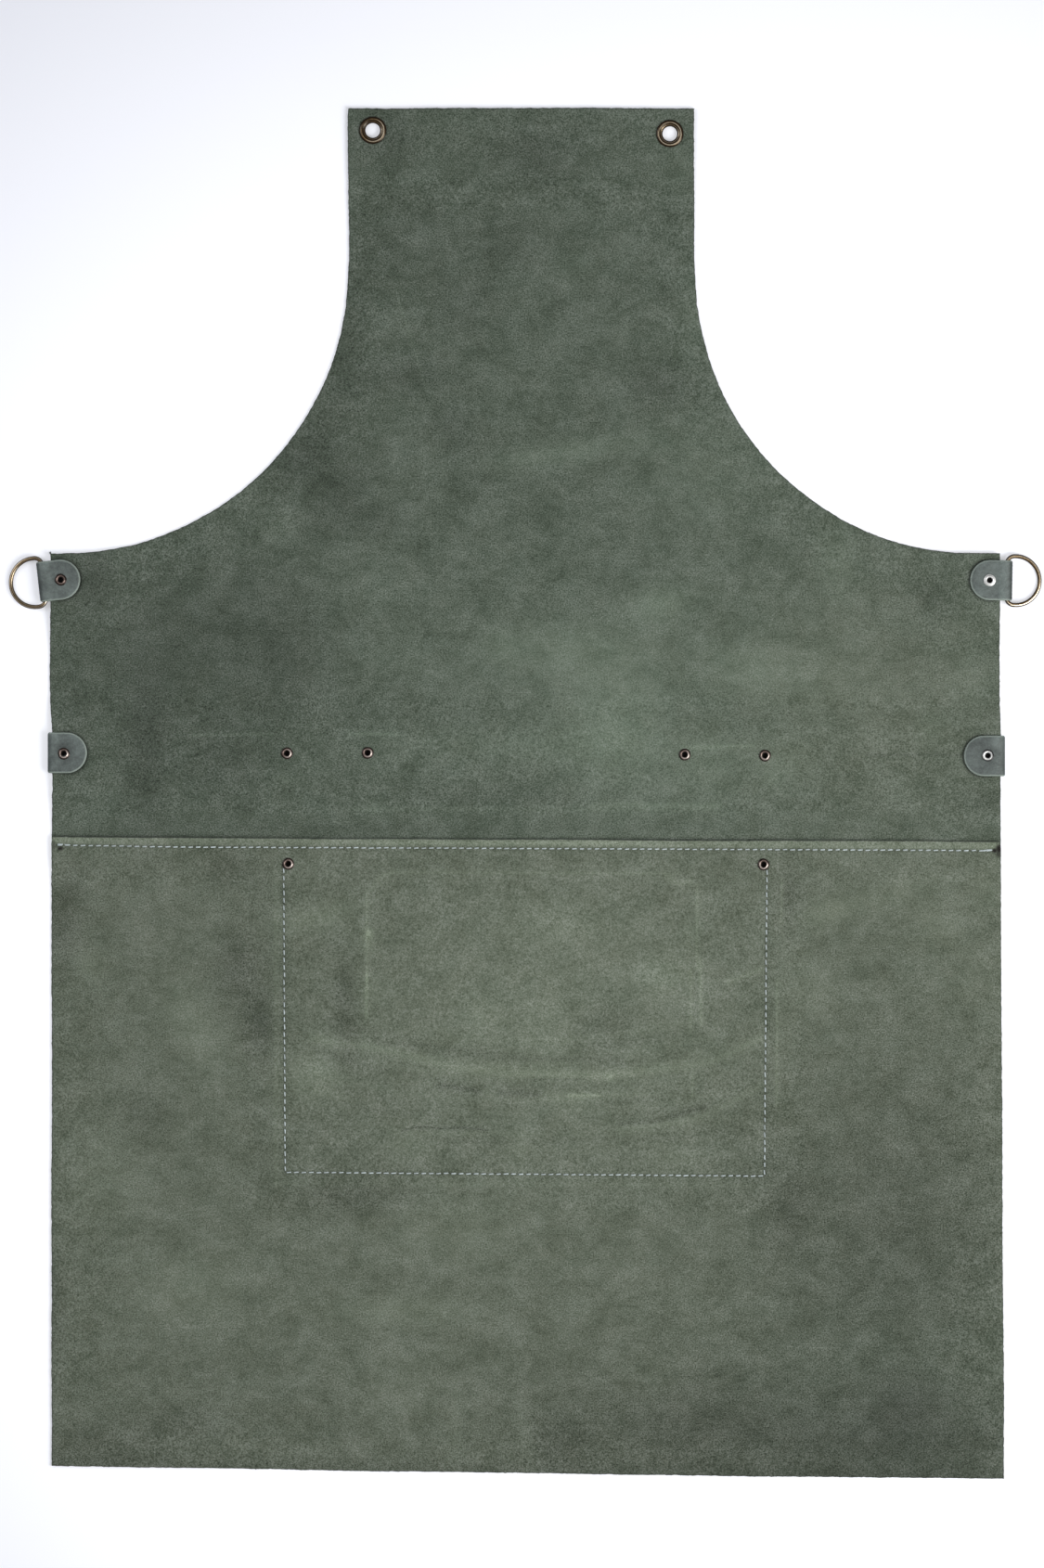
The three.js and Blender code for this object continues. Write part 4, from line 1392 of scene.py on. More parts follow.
def panel_top(name, plan):
    """Height of a panel's back, with its ridges, stitch grooves and curled edges."""
    height = drape_of(name)(plan)
    if name == "bib_panel":
        height += ridge_shape(plan, BIB_RIDGES)[0] + edge_lift(plan, name)
    if name == "skirt_panel":
        height += ridge_shape(plan, SKIRT_RIDGES)[0] + edge_lift(plan, name)
        height -= GROOVE_DEPTH * stitch_groove(plan, SKIRT_ROWS)
    return height


def panel_front(name, plan):
    """Height of a panel's front, with grooves for the thread."""
    look = bpy.context.scene.apron_leather
    height = drape_of(name)(plan) - look.body_thickness
    if name == "front_pocket":
        return height + FRONT_GROOVE * stitch_groove(plan, POCKET_ROWS)
    if name == "bib_panel":
        height += FRONT_GROOVE * stitch_groove(plan, SEAM_ROWS)
    return height + edge_lift(plan, name)


def panel_piece(piece_name, node, tone, warmth, fine, front_fine):
    """A panel of leather over its node, with the suede back up."""
    look = bpy.context.scene.apron_leather
    spacings = look.face_spacing, look.front_spacing
    sheet = LeatherSheet(panel_edge(node), holes_of(node), *spacings, look.panel_bevel, fine, front_fine)
    share = (sheet.through + 1) / 2
    front = panel_front(node, sheet.plan)
    height = front + (panel_top(node, sheet.plan) - front) * share
    points = np.column_stack((sheet.plan, height))
    attributes = {
        "tone": tone(sheet.plan),
        "warmth": warmth(sheet.plan),
        "cut": sheet.cut,
        "scorch": scorch_at(sheet.plan),
    }
    materials = [suede_material(), smooth_leather_material()]
    piece = add_piece(piece_name, points, sheet.faces, materials, sheet.sides, attributes)
    settle(piece, "apron", [node])
    outline = panel_edge(node).points
    size = outline.max(0) - outline.min(0)
    return piece, size, abs(signed_area(outline))


# The round end of a tab that lies on the back, in plan
TabEnd = namedtuple("TabEnd", "x y radius")


@lru_cache(maxsize=None)
def tab_ends():
    """The round ends of the ring tabs and of the strap, where shade gathers round them."""
    ends = []
    for side in SIDES:
        solid = in_ring_frame(side, node_mesh("ring_tab_" + side)[0])
        radius = np.ptp(solid[:, 1]) / 2
        local = np.array((solid[:, 0].min() + radius, solid[:, 1].min() + radius, 0))
        middle = from_ring_frame(side, local)
        ends.append(TabEnd(middle[0], middle[1], radius))
    strap = node_mesh("tool_strap")[0]
    folded = strap[strap[:, 2] > strap[:, 2].max() - 0.2 * MM]
    for way in (-1, 1):
        tab = folded[folded[:, 0] * way > 0]
        radius = np.ptp(tab[:, 1]) / 2
        ends.append(TabEnd(way * (np.abs(tab[:, 0]).min() + radius), tab[:, 1].min() + radius, radius))
    return ends


def tab_end_rows():
    """Points on the bib round the tabs' ends."""
    turn = np.linspace(0, 2 * math.pi, 84, endpoint=False)
    besides = np.array((-0.6, 0.2, 0.9, 1.8)) * MM
    clear = 2 * MM
    rows = np.concatenate([
        circle_points(end.x, end.y, end.radius + beside, turn) for end in tab_ends() for beside in besides
    ])
    low, high = (np.array(corner)[:2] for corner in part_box("bib_panel"))
    inside = (rows > low + clear).all(1) & (rows < high - clear).all(1)
    return rows[inside & (rows[:, 1] < ARMHOLE_TIP - clear)]


def band_tone(plan, band):
    x, y = (plan / MM).T
    return band.tone * np.exp(-((y - band.y - band.slope * x) / band.wide) ** 2)


def bib_tone(plan):
    tone = cloud_tone(plan) + RUB_AND_PAINTED_LIGHT_GAIN * ridge_shape(plan, BIB_RIDGES)[1] + band_tone(plan, LAP_SHADE)
    for end in tab_ends():
        away = np.hypot(plan[:, 0] - end.x, plan[:, 1] - end.y) - end.radius
        tone -= TAB_SHADE * np.exp(-(np.maximum(0, away) / TAB_SHADE_REACH) ** 2)
    return as_factor(tone + BIB_BASE)


def bib_warmth(plan):
    x, y = (plan / MM).T
    right_chest = np.exp(-((x - 230) / 90) ** 2 - ((y - 55) / 85) ** 2)
    return 0.12 + 0.5 * right_chest


def streak_tone(plan):
    """Tone of the streaks behind the pocket, which sag between its sides."""
    sag = 24
    half_span = 140
    x, y = (plan / MM).T
    between_sides = np.clip((145 - np.abs(x)) / 20, 0, 1)
    over_bottom = np.clip((y + 236) / 20, 0, 1)
    under_top = np.clip((-y - 120) / 40, 0, 1)
    hung = y - sag * (x / half_span) ** 2 * np.clip((y + 240) / 80, 0, 1)
    tone = np.zeros(len(x))
    for number, streak in enumerate(STREAKS):
        fade = 0.5 + 0.5 * np.cos(x / (21 + 9 * number) + 2 * hung / streak.spacing + number)
        tone += streak.strength * fade * np.cos(2 * math.pi * (hung + streak.start) / streak.spacing)
    return tone * between_sides * over_bottom * under_top


def skirt_tone(plan):
    tone = cloud_tone(plan) + RUB_AND_PAINTED_LIGHT_GAIN * ridge_shape(plan, SKIRT_RIDGES)[1] + streak_tone(plan)
    tone += band_tone(plan, LAP_PALE) + band_tone(plan, HEM_SHADE)
    needle_holes = stitch_groove(plan, SKIRT_ROWS)
    return as_factor(tone + SKIRT_BASE - NEEDLE_SHADE * needle_holes ** 2)


def skirt_warmth(plan):
    x, y = (plan / MM).T
    lower_right = np.exp(-((x - 250) / 110) ** 2 - ((y + 390) / 100) ** 2)
    return 0.72 - 0.3 * lower_right


def plain_tone(plan):
    return np.ones(len(plan))


def make_bib():
    fine = thinned(np.concatenate((ridge_rows(BIB_RIDGES), tab_end_rows())), BACK_CELL)
    front_fine = thinned(stitch_rows_beside(SEAM_ROWS, FRONT_OFFSETS), FRONT_CELL)
    piece, size, area = panel_piece("bib_leather", "bib_panel", bib_tone, bib_warmth, fine, front_fine)


def make_skirt():
    stitches = stitch_rows_beside(SKIRT_ROWS, BACK_OFFSETS)
    scorches = scorch_points("skirt_panel")
    fine = thinned(np.concatenate((stitches, ridge_rows(SKIRT_RIDGES), scorches)), BACK_CELL)
    piece, size, area = panel_piece("skirt_leather", "skirt_panel", skirt_tone, skirt_warmth, fine, None)


def make_pocket():
    front_fine = thinned(stitch_rows_beside(POCKET_ROWS, FRONT_OFFSETS), FRONT_CELL)
    piece, size, area = panel_piece(
        "pocket_leather", "front_pocket", plain_tone, skirt_warmth, None, front_fine
    )


# The strap and the ring tabs

class FoldedStrip:
    """A folded strip in side view: a smooth middle line and the way out of it, by distance from one end."""

    def __init__(self, points):
        self.line = smooth_line(points, 0.5 * MM)
        self.at = steps_along(self.line)
        self.length = self.at[-1]
        ahead = np.gradient(self.line, self.at, axis=0)
        ahead /= np.linalg.norm(ahead, axis=1)[:, None]
        self.out = np.column_stack((-ahead[:, 1], ahead[:, 0]))

    def place(self, along, offset):
        """Points at distances along the strip, off its middle line by the given offsets."""
        columns = [np.interp(along, self.at, values) for values in (*self.line.T, *self.out.T)]
        return columns[0] + columns[2] * offset, columns[1] + columns[3] * offset


def strip_outline(length, width, step):
    """A strip with two half-round ends, anticlockwise."""
    half = width / 2
    turn = np.linspace(-math.pi / 2, math.pi / 2, 2 * round(math.pi * half / step / 2) + 1)
    side = np.linspace(half, length - half, round((length - width) / step), endpoint=False)[1:]
    lower = np.column_stack((side, np.full(len(side), -half)))
    right = np.column_stack((length - half + half * np.cos(turn), half * np.sin(turn)))
    upper = np.column_stack((side[::-1], np.full(len(side), half)))
    left = np.column_stack((half - half * np.cos(turn), -half * np.sin(turn)))
    return np.concatenate((lower, right, upper, left))


def strip_sheet(strip, width, holes, seed):
    look = bpy.context.scene.apron_leather
    step = 0.9 * MM
    outline = strip_outline(strip.length, width, step)
    out = outward(outline)
    rng = np.random.default_rng(seed)
    edge = Edge(outline + out * rng.normal(0, 0.035 * MM, len(outline))[:, None], out)
    return LeatherSheet(edge, holes, look.strip_spacing, 2 * look.strip_spacing, look.tab_bevel)


def strip_piece(name, node, sheet, points, tone):
    attributes = {"tone": as_factor(tone), "cut": sheet.cut, "warmth": np.full(len(points), 0.3)}
    materials = [smooth_leather_material(), suede_material()]
    piece = add_piece(name, points, sheet.faces, materials, sheet.sides, attributes)
    return settle(piece, "apron", [node])


RIVET_HOLE = 1.8 * MM
RIVET_HOLE_SIDES = 14
STRAP_RIVETS = ["rivet_strap_1", "rivet_strap_2", "rivet_strap_3", "rivet_strap_4"]
STRAP_END_RIVETS = ["rivet_strap_end_left", "rivet_strap_end_right"]


STRAP_FOLD = 2.2 * MM
STRAP_SEED = 41
HALF_TURN = np.radians(np.arange(90, -91, -15))

# Tone of the strap where its fold is worn, where its end rivets dent it, and of its left and right half
FOLD_WEAR = 8
RIVET_DENT = -9
STRAP_LEFT = 1
STRAP_RIGHT = -8


def strap_path(thick, middle, slope):
    """The strap's middle line in side view, from its right tip along the front to its left tip."""
    points = node_mesh("tool_strap")[0]
    low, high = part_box("tool_strap")
    on_back = points[points[:, 2] > high.z - 0.2 * MM][:, 0]
    right_tip = on_back[on_back > 0].min()
    left_tip = on_back[on_back < 0].max()
    back_level = high.z - thick / 2
    side_level = points[np.abs(points[:, 0]) > 285 * MM][:, 2].min() + thick / 2
    run = np.arange(low.x + 12 * MM, high.x - 12 * MM, 6 * MM)[::-1]
    under = drape_of("tool_strap")(np.column_stack((run, middle + slope * run))) - thick / 2
    level = np.where(np.abs(run) < 270 * MM, under, side_level)
    level = np.convolve(np.pad(level, 2, mode="edge"), np.full(5, 0.2), "valid")
    half_rise = (back_level - side_level) / 2
    folds = []
    for edge, way in ((high.x, 1), (low.x, -1)):
        hub = edge - way * (STRAP_FOLD + thick / 2)
        x = hub + way * STRAP_FOLD * np.cos(HALF_TURN)
        z = (back_level + side_level) / 2 + half_rise * np.sin(HALF_TURN)
        folds.append(np.column_stack((x, z)))
    right = folds[0]
    left = folds[1][::-1]
    start = np.array([[right_tip, back_level], [(right_tip + right[0, 0]) / 2, back_level]])
    end = np.array([[(left_tip + left[-1, 0]) / 2, back_level], [left_tip, back_level]])
    return np.concatenate((start, right, np.column_stack((run, level)), left, end))


def strap_holes(strip, half_height):
    """The rivets' holes along the strap: through its front, and again through its folded ends."""
    near = 0.4 * MM
    on_back = strip.line[:, 1] > half_height
    holes = []
    for name in STRAP_RIVETS + STRAP_END_RIVETS:
        beside = np.abs(strip.line[:, 0] - node_middle(name).x) < near
        layers = [beside & ~on_back]
        if name in STRAP_END_RIVETS:
            layers.append(beside & on_back)
        holes += [Hole(strip.at[layer].mean(), 0, RIVET_HOLE, RIVET_HOLE_SIDES) for layer in layers]
    return holes


def make_strap():
    thick = bpy.context.scene.apron_leather.strap_thickness
    solid = node_mesh("tool_strap")[0]
    low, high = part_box("tool_strap")
    front = solid[solid[:, 2] < high.z / 2]
    slope, middle = np.polyfit(front[:, 0], front[:, 1], 1)
    width = high.y - low.y - abs(slope) * (high.x - low.x)
    strip = FoldedStrip(strap_path(thick, middle, slope))
    sheet = strip_sheet(strip, width, strap_holes(strip, high.z / 2), STRAP_SEED)
    x, z = strip.place(sheet.plan[:, 0], sheet.through * thick / 2)
    y = middle + slope * x + sheet.plan[:, 1]
    worn = np.exp(-((np.abs(x) - high.x + 6 * MM) / (3 * MM)) ** 2)
    rivets = [node_middle(name) for name in STRAP_END_RIVETS]
    dented = sum(np.exp(-(np.hypot(x - at.x, y - at.y) / (6 * MM)) ** 2) for at in rivets)
    tone = FOLD_WEAR * worn + np.where(x < 0, STRAP_LEFT, STRAP_RIGHT) + RIVET_DENT * dented
    piece = strip_piece("strap_leather", "tool_strap", sheet, np.column_stack((x, y, z)), tone)


def ring_frame(side):
    """A ring's bar: its middle, and the directions out of the apron and along the bar."""
    joint = JOINTS["ring_" + side]
    along = Vector(joint["axis"]).normalized()
    out = Vector((0, 0, 1)).cross(along)
    return Vector(joint["pos_m"]), out, Vector((0, 0, 1)).cross(out)


def in_ring_frame(side, points):
    """Points as distances out of the bar, along it and over it."""
    middle, out, along = ring_frame(side)
    away = points - np.array(middle)
    return np.column_stack((away @ np.array(out), away @ np.array(along), away[:, 2]))


def from_ring_frame(side, local):
    middle, out, along = ring_frame(side)
    return np.array(middle) + local @ np.array([out, along, (0, 0, 1)])


# The ring tabs: seed of the ragged edge, tone of the worn fold and of its painted shade where it turns
# down, tone of the whole tab
TabLook = namedtuple("TabLook", "seed wear tone")
TAB_LOOKS = {"left": TabLook(43, 8, -4), "right": TabLook(47, 13, 0)}


def make_ring_tab(side):
    look = TAB_LOOKS[side]
    thick = bpy.context.scene.apron_leather.strap_thickness
    node = "ring_tab_" + side
    solid = in_ring_frame(side, node_mesh(node)[0])
    tip = solid[:, 0].min()
    fold = solid[:, 0].max() - thick / 2
    flat = solid[solid[:, 0] < tip + 8 * MM][:, 2].max() - thick / 2
    width = np.ptp(solid[:, 1])
    nose = circle_points(0, 0, fold, HALF_TURN)
    upper = [(tip, flat), (tip * 0.6, flat), (-2.2 * fold, flat)]
    lower = [(x, -z) for x, z in upper[::-1]]
    strip = FoldedStrip(np.concatenate((upper, nose, lower)))
    rivet = in_ring_frame(side, np.array([node_middle("rivet_ring_tab_" + side)]))[0]
    from_tip = rivet[0] - tip
    places = (from_tip, strip.length - from_tip)
    holes = [Hole(place, rivet[1], RIVET_HOLE, RIVET_HOLE_SIDES) for place in places]
    sheet = strip_sheet(strip, width, holes, look.seed)
    x, z = strip.place(sheet.plan[:, 0], sheet.through * thick / 2)
    local = np.column_stack((x, sheet.plan[:, 1], z))
    worn = np.exp(-((x + 2.5 * MM) / (2.2 * MM)) ** 2)
    # Painted shade along the fold, where it turns down
    fold_painted_shade = np.exp(-((x - fold) / (1.2 * MM)) ** 2)
    tone = look.wear * (worn - 1.6 * fold_painted_shade) + look.tone
    piece = strip_piece("ring_tab_leather_" + side, node, sheet, from_ring_frame(side, local), tone)


# Metal fittings

# Painted highlights and rubbed brass along a ring's wire, brighter on its lit side: degrees up from its
# outer side, half width in degrees, how rubbed and lit
WireLine = namedtuple("WireLine", "angle wide rub")
WIRE_LINES = {
    "left": [WireLine(60, 16, 1.1), WireLine(120, 13, 0.9), WireLine(90, 30, 0.2)],
    "right": [WireLine(74, 24, 1.05), WireLine(126, 12, 0.45)],
}


def make_d_ring(side):
    look = bpy.context.scene.apron_metal
    node = "d_ring_" + side
    wire = look.ring_wire
    corner = look.ring_corner
    solid = in_ring_frame(side, node_mesh(node)[0])
    droop = math.atan2(solid[:, 2].mean(), solid[:, 0].mean())
    reach = solid[:, 0] * math.cos(droop) + solid[:, 2] * math.sin(droop)
    half = np.ptp(solid[:, 1]) / 2 - wire
    depth = reach.max() - wire
    bow = depth - half
    quarter = np.linspace(0, math.pi / 2, 10)
    half_turn = np.linspace(-math.pi / 2, math.pi / 2, 72)
    flat = half - corner
    bar = np.column_stack((np.zeros(24), np.linspace(flat, -flat, 24)))
    lower = np.column_stack((corner - corner * np.cos(quarter), -flat - corner * np.sin(quarter)))
    round_part = np.column_stack((bow + half * np.cos(half_turn), half * np.sin(half_turn)))
    upper = np.column_stack((corner - corner * np.sin(quarter), flat + corner * np.cos(quarter)))
    loop = np.concatenate((bar, lower[1:], round_part, upper[:-1]))
    out = outward(loop)
    sections = 28
    turn = np.linspace(0, 2 * math.pi, sections, endpoint=False)
    plan = loop[:, None, :] + wire * out[:, None, :] * np.cos(turn)[None, :, None]
    over = np.broadcast_to(wire * np.sin(turn), plan.shape[:2])
    local_x = plan[..., 0] * math.cos(droop) - over * math.sin(droop)
    local_z = plan[..., 0] * math.sin(droop) + over * math.cos(droop)
    local = np.stack((local_x, plan[..., 1], local_z), axis=-1).reshape(-1, 3)
    count = len(loop)
    ring = np.arange(count)[:, None] * sections
    following = (np.arange(count)[:, None] + 1) % count * sections
    here = np.arange(sections)[None, :]
    beside = (here + 1) % sections
    corners = ring + here, following + here, following + beside, ring + beside
    faces = np.stack(corners, axis=-1).reshape(-1, 4)
    angle = np.degrees(np.arctan2(np.abs(np.sin(turn)), np.cos(turn)))
    wire_rub_and_highlight = np.zeros(sections)
    for line in WIRE_LINES[side]:
        wire_rub_and_highlight += line.rub * np.exp(-((angle - line.angle) / line.wide) ** 2)
    crest = np.broadcast_to(wire_rub_and_highlight, plan.shape[:2]).ravel()
    brass = metal_material("antique_brass")
    points = from_ring_frame(side, local)
    piece = add_piece("d_ring_wire_" + side, points, faces, [brass], None, {"crest": crest})
    settle(piece, "ring_" + side, [node])


EYELET_SEEDS = {"left": 5, "right": 6}
# The brighter side of each eyelet is a painted highlight
EYELET_WEAR_AND_HIGHLIGHT = {"left": Wear(0.85, 0.6, -45, 0), "right": Wear(1.15, 0.2, -45, 0)}


def make_eyelet(side):
    node = "eyelet_" + side
    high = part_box(node)[1]
    back_seat = high.z / MM - max(row.height for row in EYELET_BACK)
    back = [row._replace(height=row.height + back_seat) for row in EYELET_BACK]
    profile = rounded_profile(EYELET_FRONT + back, 3)[:-1]
    middle = node_middle(node)
    seat = np.array((middle.x, middle.y, 0))
    points, faces, crest = lathe(profile, 72, seat, 0.002, EYELET_SEEDS[side], EYELET_WEAR_AND_HIGHLIGHT[side])
    brass = metal_material("antique_brass")
    piece = add_piece("eyelet_brass_" + side, points, faces, [brass], None, {"crest": crest})
    settle(piece, "apron", [node])


RIVETS = [name for name in sorted(NODES) if name.startswith("rivet_")]
NICKEL_RIVETS = ["rivet_ring_tab_right", "rivet_strap_end_right"]
# The brighter side of each rivet is a painted highlight
COPPER_WEAR_AND_HIGHLIGHT = Wear(1, 0.45, -45, 0)
RIVET_WEAR_AND_HIGHLIGHT = {
    "rivet_ring_tab_left": Wear(0.6, 0.2, -60, 0),
    "rivet_ring_tab_right": Wear(1, 0.1, -45, 3.8),
    "rivet_strap_end_right": Wear(1, 0.5, 140, 3),
}
COLLAR_HOLE = 1.75
BARE_CREST = 0.8


def make_rivet(name, seed):
    low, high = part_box(name)
    collar_top = max(row.height for row in RIVET_COLLAR)
    level = high.z / MM - collar_top
    wear = RIVET_WEAR_AND_HIGHLIGHT.get(name, COPPER_WEAR_AND_HIGHLIGHT)
    collar = []
    for row in RIVET_COLLAR:
        bare = COLLAR_HOLE < row.radius < wear.bare
        crest = max(row.crest, BARE_CREST) if bare else row.crest
        collar.append(Turn(row.radius, row.height + level, crest))
    profile = rounded_profile(RIVET_CAP + collar, 3)
    middle = node_middle(name)
    seat = np.array((middle.x, middle.y, low.z))
    points, faces, crest = lathe(profile, 40, seat, 0.012, seed, wear)
    slot = "nickel" if name in NICKEL_RIVETS else "antique_copper"
    piece = add_piece(name + "_turned", points, faces, [metal_material(slot)], None, {"crest": crest})
    settle(piece, "apron", [name])


# Thread and fibres

def stitch_template(radius, length):
    """Points and faces of one stitch of twisted plies along X, which dips into the leather at both ends."""
    sections = 11
    sides = 9
    plies = 3
    twist = 1.6 * math.pi
    ply_bulge = 0.16
    narrowing = 0.55
    ride = 0.9
    dip = 3.2
    along = np.linspace(-1, 1, sections)
    turn = np.linspace(0, 2 * math.pi, sides, endpoint=False)
    near_end = along ** 6
    lobes = 1 + ply_bulge * np.cos(plies * (turn[None, :] - twist * along[:, None]))
    reach = radius * lobes * np.sqrt(1 - narrowing * near_end)[:, None]
    height = radius * (ride - dip * near_end)
    x = np.broadcast_to(along[:, None] * length / 2, reach.shape)
    points = np.stack((x, reach * np.cos(turn), height[:, None] + reach * np.sin(turn)), axis=-1)
    return points.reshape(-1, 3), tube_faces(sections, sides)


def tube_faces(sections, sides):
    """Faces of a tube with closed ends, whose points run section by section."""
    side = np.arange(sides)
    beside = (side + 1) % sides
    starts = np.arange(sections - 1) * sides
    walls = [np.column_stack((side, side + sides, beside + sides, beside)) + start for start in starts]
    ends = [side.tolist(), (side[::-1] + starts[-1] + sides).tolist()]
    return np.concatenate(walls).tolist() + ends


def stitch_places(row, thread, rng):
    """Middle, direction and size of each stitch of a row, and of the tacks at its ends."""
    slant = math.radians(5)
    wander = 0.06 * MM
    uneven = 0.05
    tack_size = 1.2
    start = np.array(row.start) * MM
    end = np.array(row.end) * MM
    run = np.linalg.norm(end - start)
    ahead = (end - start) / run
    side = np.array((-ahead[1], ahead[0]))
    slanted = ahead * math.cos(slant) + side * math.sin(slant)
    count = round(run / thread.pitch)
    places = []
    for share in (np.arange(count) + 0.5) / count:
        middle = start + (end - start) * share + side * rng.normal(0, wander)
        places.append((middle, slanted, 1 + rng.normal(0, uneven)))
    tacks = [(row.tack_start, start, 1), (row.tack_end, end, -1)]
    for distances, place, way in tacks:
        for number, distance in enumerate(distances):
            middle = place + ahead * way * thread.pitch * distance
            places.append((middle + side * (0.45 - 0.25 * number) * MM, ahead, tack_size))
    return places


def stitches_piece(name, rows, back_node, front_node, seed):
    """Stitches of some rows, on the back of one panel and the front of another."""
    thread = bpy.context.scene.apron_thread
    rng = np.random.default_rng(seed)
    template, template_faces = stitch_template(thread.radius, thread.length)
    places = [place for row in rows for place in stitch_places(row, thread, rng)]
    middles = np.array([place[0] for place in places])
    back = panel_top(back_node, middles)
    front = panel_front(front_node, middles) + FRONT_SINK
    points = []
    faces = []
    for number, (middle, ahead, size) in enumerate(places):
        side = np.array((-ahead[1], ahead[0]))
        for level, way in ((back[number], 1), (front[number], -1)):
            x = template[:, 0] * size
            y = template[:, 1] * (1 + 0.25 * (size - 1))
            plan = middle + x[:, None] * ahead + y[:, None] * side * way
            first = len(points) * len(template)
            faces += [[corner + first for corner in face] for face in template_faces]
            points.append(np.column_stack((plan, level + way * template[:, 2])))
    piece = add_piece(name, np.concatenate(points), faces, [thread_material()])
    settle(piece, "apron")


FIBRE_STEPS = 4


def fibre_points(start, way, length, radius, bend):
    """A thin bent fibre with three sides, from its root to a point."""
    turn = np.radians((90, 210, 330))
    share = np.linspace(0, 1, FIBRE_STEPS)
    side = np.cross(way, (0, 0, 1))
    side /= max(np.linalg.norm(side), 1e-9)
    over = np.cross(side, way)
    rings = []
    for step in share:
        middle = start + way * length * step + (side * bend + over * 0.2) * length * step ** 2
        reach = radius * (1 - 0.85 * step)
        rings.append(middle + reach * (np.cos(turn)[:, None] * side + np.sin(turn)[:, None] * over))
    return np.concatenate(rings)


def edge_fibres(node, count, rng):
    """Root, way, length, radius and bend of loose fibres along a panel's raw edge, clear of the lap."""
    lap = -20 * MM
    outline, out = panel_edge(node)
    shown = np.flatnonzero((outline[:, 1] > lap) | (node == "skirt_panel"))
    chosen = rng.choice(shown, count)
    plan = outline[chosen] - out[chosen] * 0.3 * MM
    roots = np.column_stack((plan, panel_top(node, plan) - rng.uniform(0.1, 1.5, count) * MM))
    outwards = out[chosen] + rng.normal(0, 0.55, (count, 2))
    ways = np.column_stack((outwards, rng.normal(0, 0.2, count)))
    lengths = rng.gamma(2.2, 0.2, count) * MM
    radii = rng.uniform(0.06, 0.13, count) * MM
    bends = rng.normal(0, 0.6, count)
    return zip(roots, ways, lengths, radii, bends)


def tuft_fibres(count, rng):
    """Root, way, length, radius and bend of the tuft at the tip of the left armhole."""
    outline = panel_edge("bib_panel").points
    tip = outline[np.argmin(outline @ (3, -1))]
    level = panel_top("bib_panel", tip[None, :])[0]
    plan = tip + rng.normal(0, 0.4 * MM, (count, 2))
    levels = level - rng.uniform(0.2, 1.5, count) * MM
    ways = rng.normal((0.1, 0.8, 0.05), (0.4, 0.4, 0.2), (count, 3))
    lengths = rng.uniform(0.6, 1.7, count) * MM
    radii = rng.uniform(0.1, 0.18, count) * MM
    bends = rng.normal(0, 0.6, count)
    return zip(np.column_stack((plan, levels)), ways, lengths, radii, bends)


def make_fibres():
    thread = bpy.context.scene.apron_thread
    lowest = 0.02 * MM
    rng = np.random.default_rng(71)
    fibres = []
    for node in ("bib_panel", "skirt_panel"):
        fibres += edge_fibres(node, thread.fibres, rng)
    fibres += tuft_fibres(20, rng)
    points = np.concatenate([
        fibre_points(root, way / np.linalg.norm(way), length, radius, bend)
        for root, way, length, radius, bend in fibres
    ])
    points[:, 2] = np.maximum(points[:, 2], lowest)
    count = len(points) // len(fibres)
    template_faces = tube_faces(FIBRE_STEPS, 3)
    faces = []
    for number in range(len(fibres)):
        faces += [[corner + count * number for corner in face] for face in template_faces]
    attributes = {"tone": np.full(len(points), 0.8), "warmth": np.full(len(points), 0.4)}
    piece = add_piece("raw_edge_fibres", points, faces, [suede_material()], None, attributes)
    settle(piece, "apron")


# Camera, light and floor

# The lamps, each named after its power in the settings of the stage
Lamp = namedtuple("Lamp", "name place size colour")
LAMPS = [
    Lamp("key", (1.3, -0.5, 1.5), (1.0, 1.4), (1, 0.99, 0.97)),
    Lamp("fill", (-1.35, 0.5, 1.5), (1.0, 1.4), (0.97, 0.98, 1)),
    Lamp("top", (0.2, 0.1, 2.9), (1.6, 1.6), (1, 1, 1)),
    Lamp("glint", (1.0, -1.15, 1.6), (0.3, 0.3), (1, 0.98, 0.95)),
]
SURROUND_COLOUR = (0.91, 0.93, 1, 1)


def add_lamp(lamp, power):
    """A soft lamp that shines at the middle of the apron."""
    data = bpy.data.lights.new(lamp.name, "AREA")
    data.shape = "RECTANGLE"
    data.size, data.size_y = lamp.size
    data.energy = power
    data.color = lamp.colour
    placed = bpy.data.objects.new(lamp.name, data)
    placed.location = lamp.place
    placed.rotation_euler = (-Vector(lamp.place)).to_track_quat("-Z", "Y").to_euler()
    bpy.context.scene.collection.objects.link(placed)


def add_floor():
    """A floor that lets light through to the apron's front, for views from below."""
    reach = 4
    corners = [(-reach, -reach, 0), (reach, -reach, 0), (reach, reach, 0), (-reach, reach, 0)]
    mesh = bpy.data.meshes.new("floor")
    mesh.from_pydata(corners, [], [(0, 1, 2, 3)])
    mesh.materials.append(floor_material())
    floor = bpy.data.objects.new("floor", mesh)
    floor.location.z = -0.1 * MM
    floor.visible_diffuse = False
    bpy.context.scene.collection.objects.link(floor)


def add_camera(look):
    data = bpy.data.cameras.new("camera")
    data.lens = look.lens
    data.sensor_width = 36
    camera = bpy.data.objects.new("camera", data)
    camera.location = (*look.camera_place, look.camera_height)
    bpy.context.scene.collection.objects.link(camera)
    bpy.context.scene.camera = camera


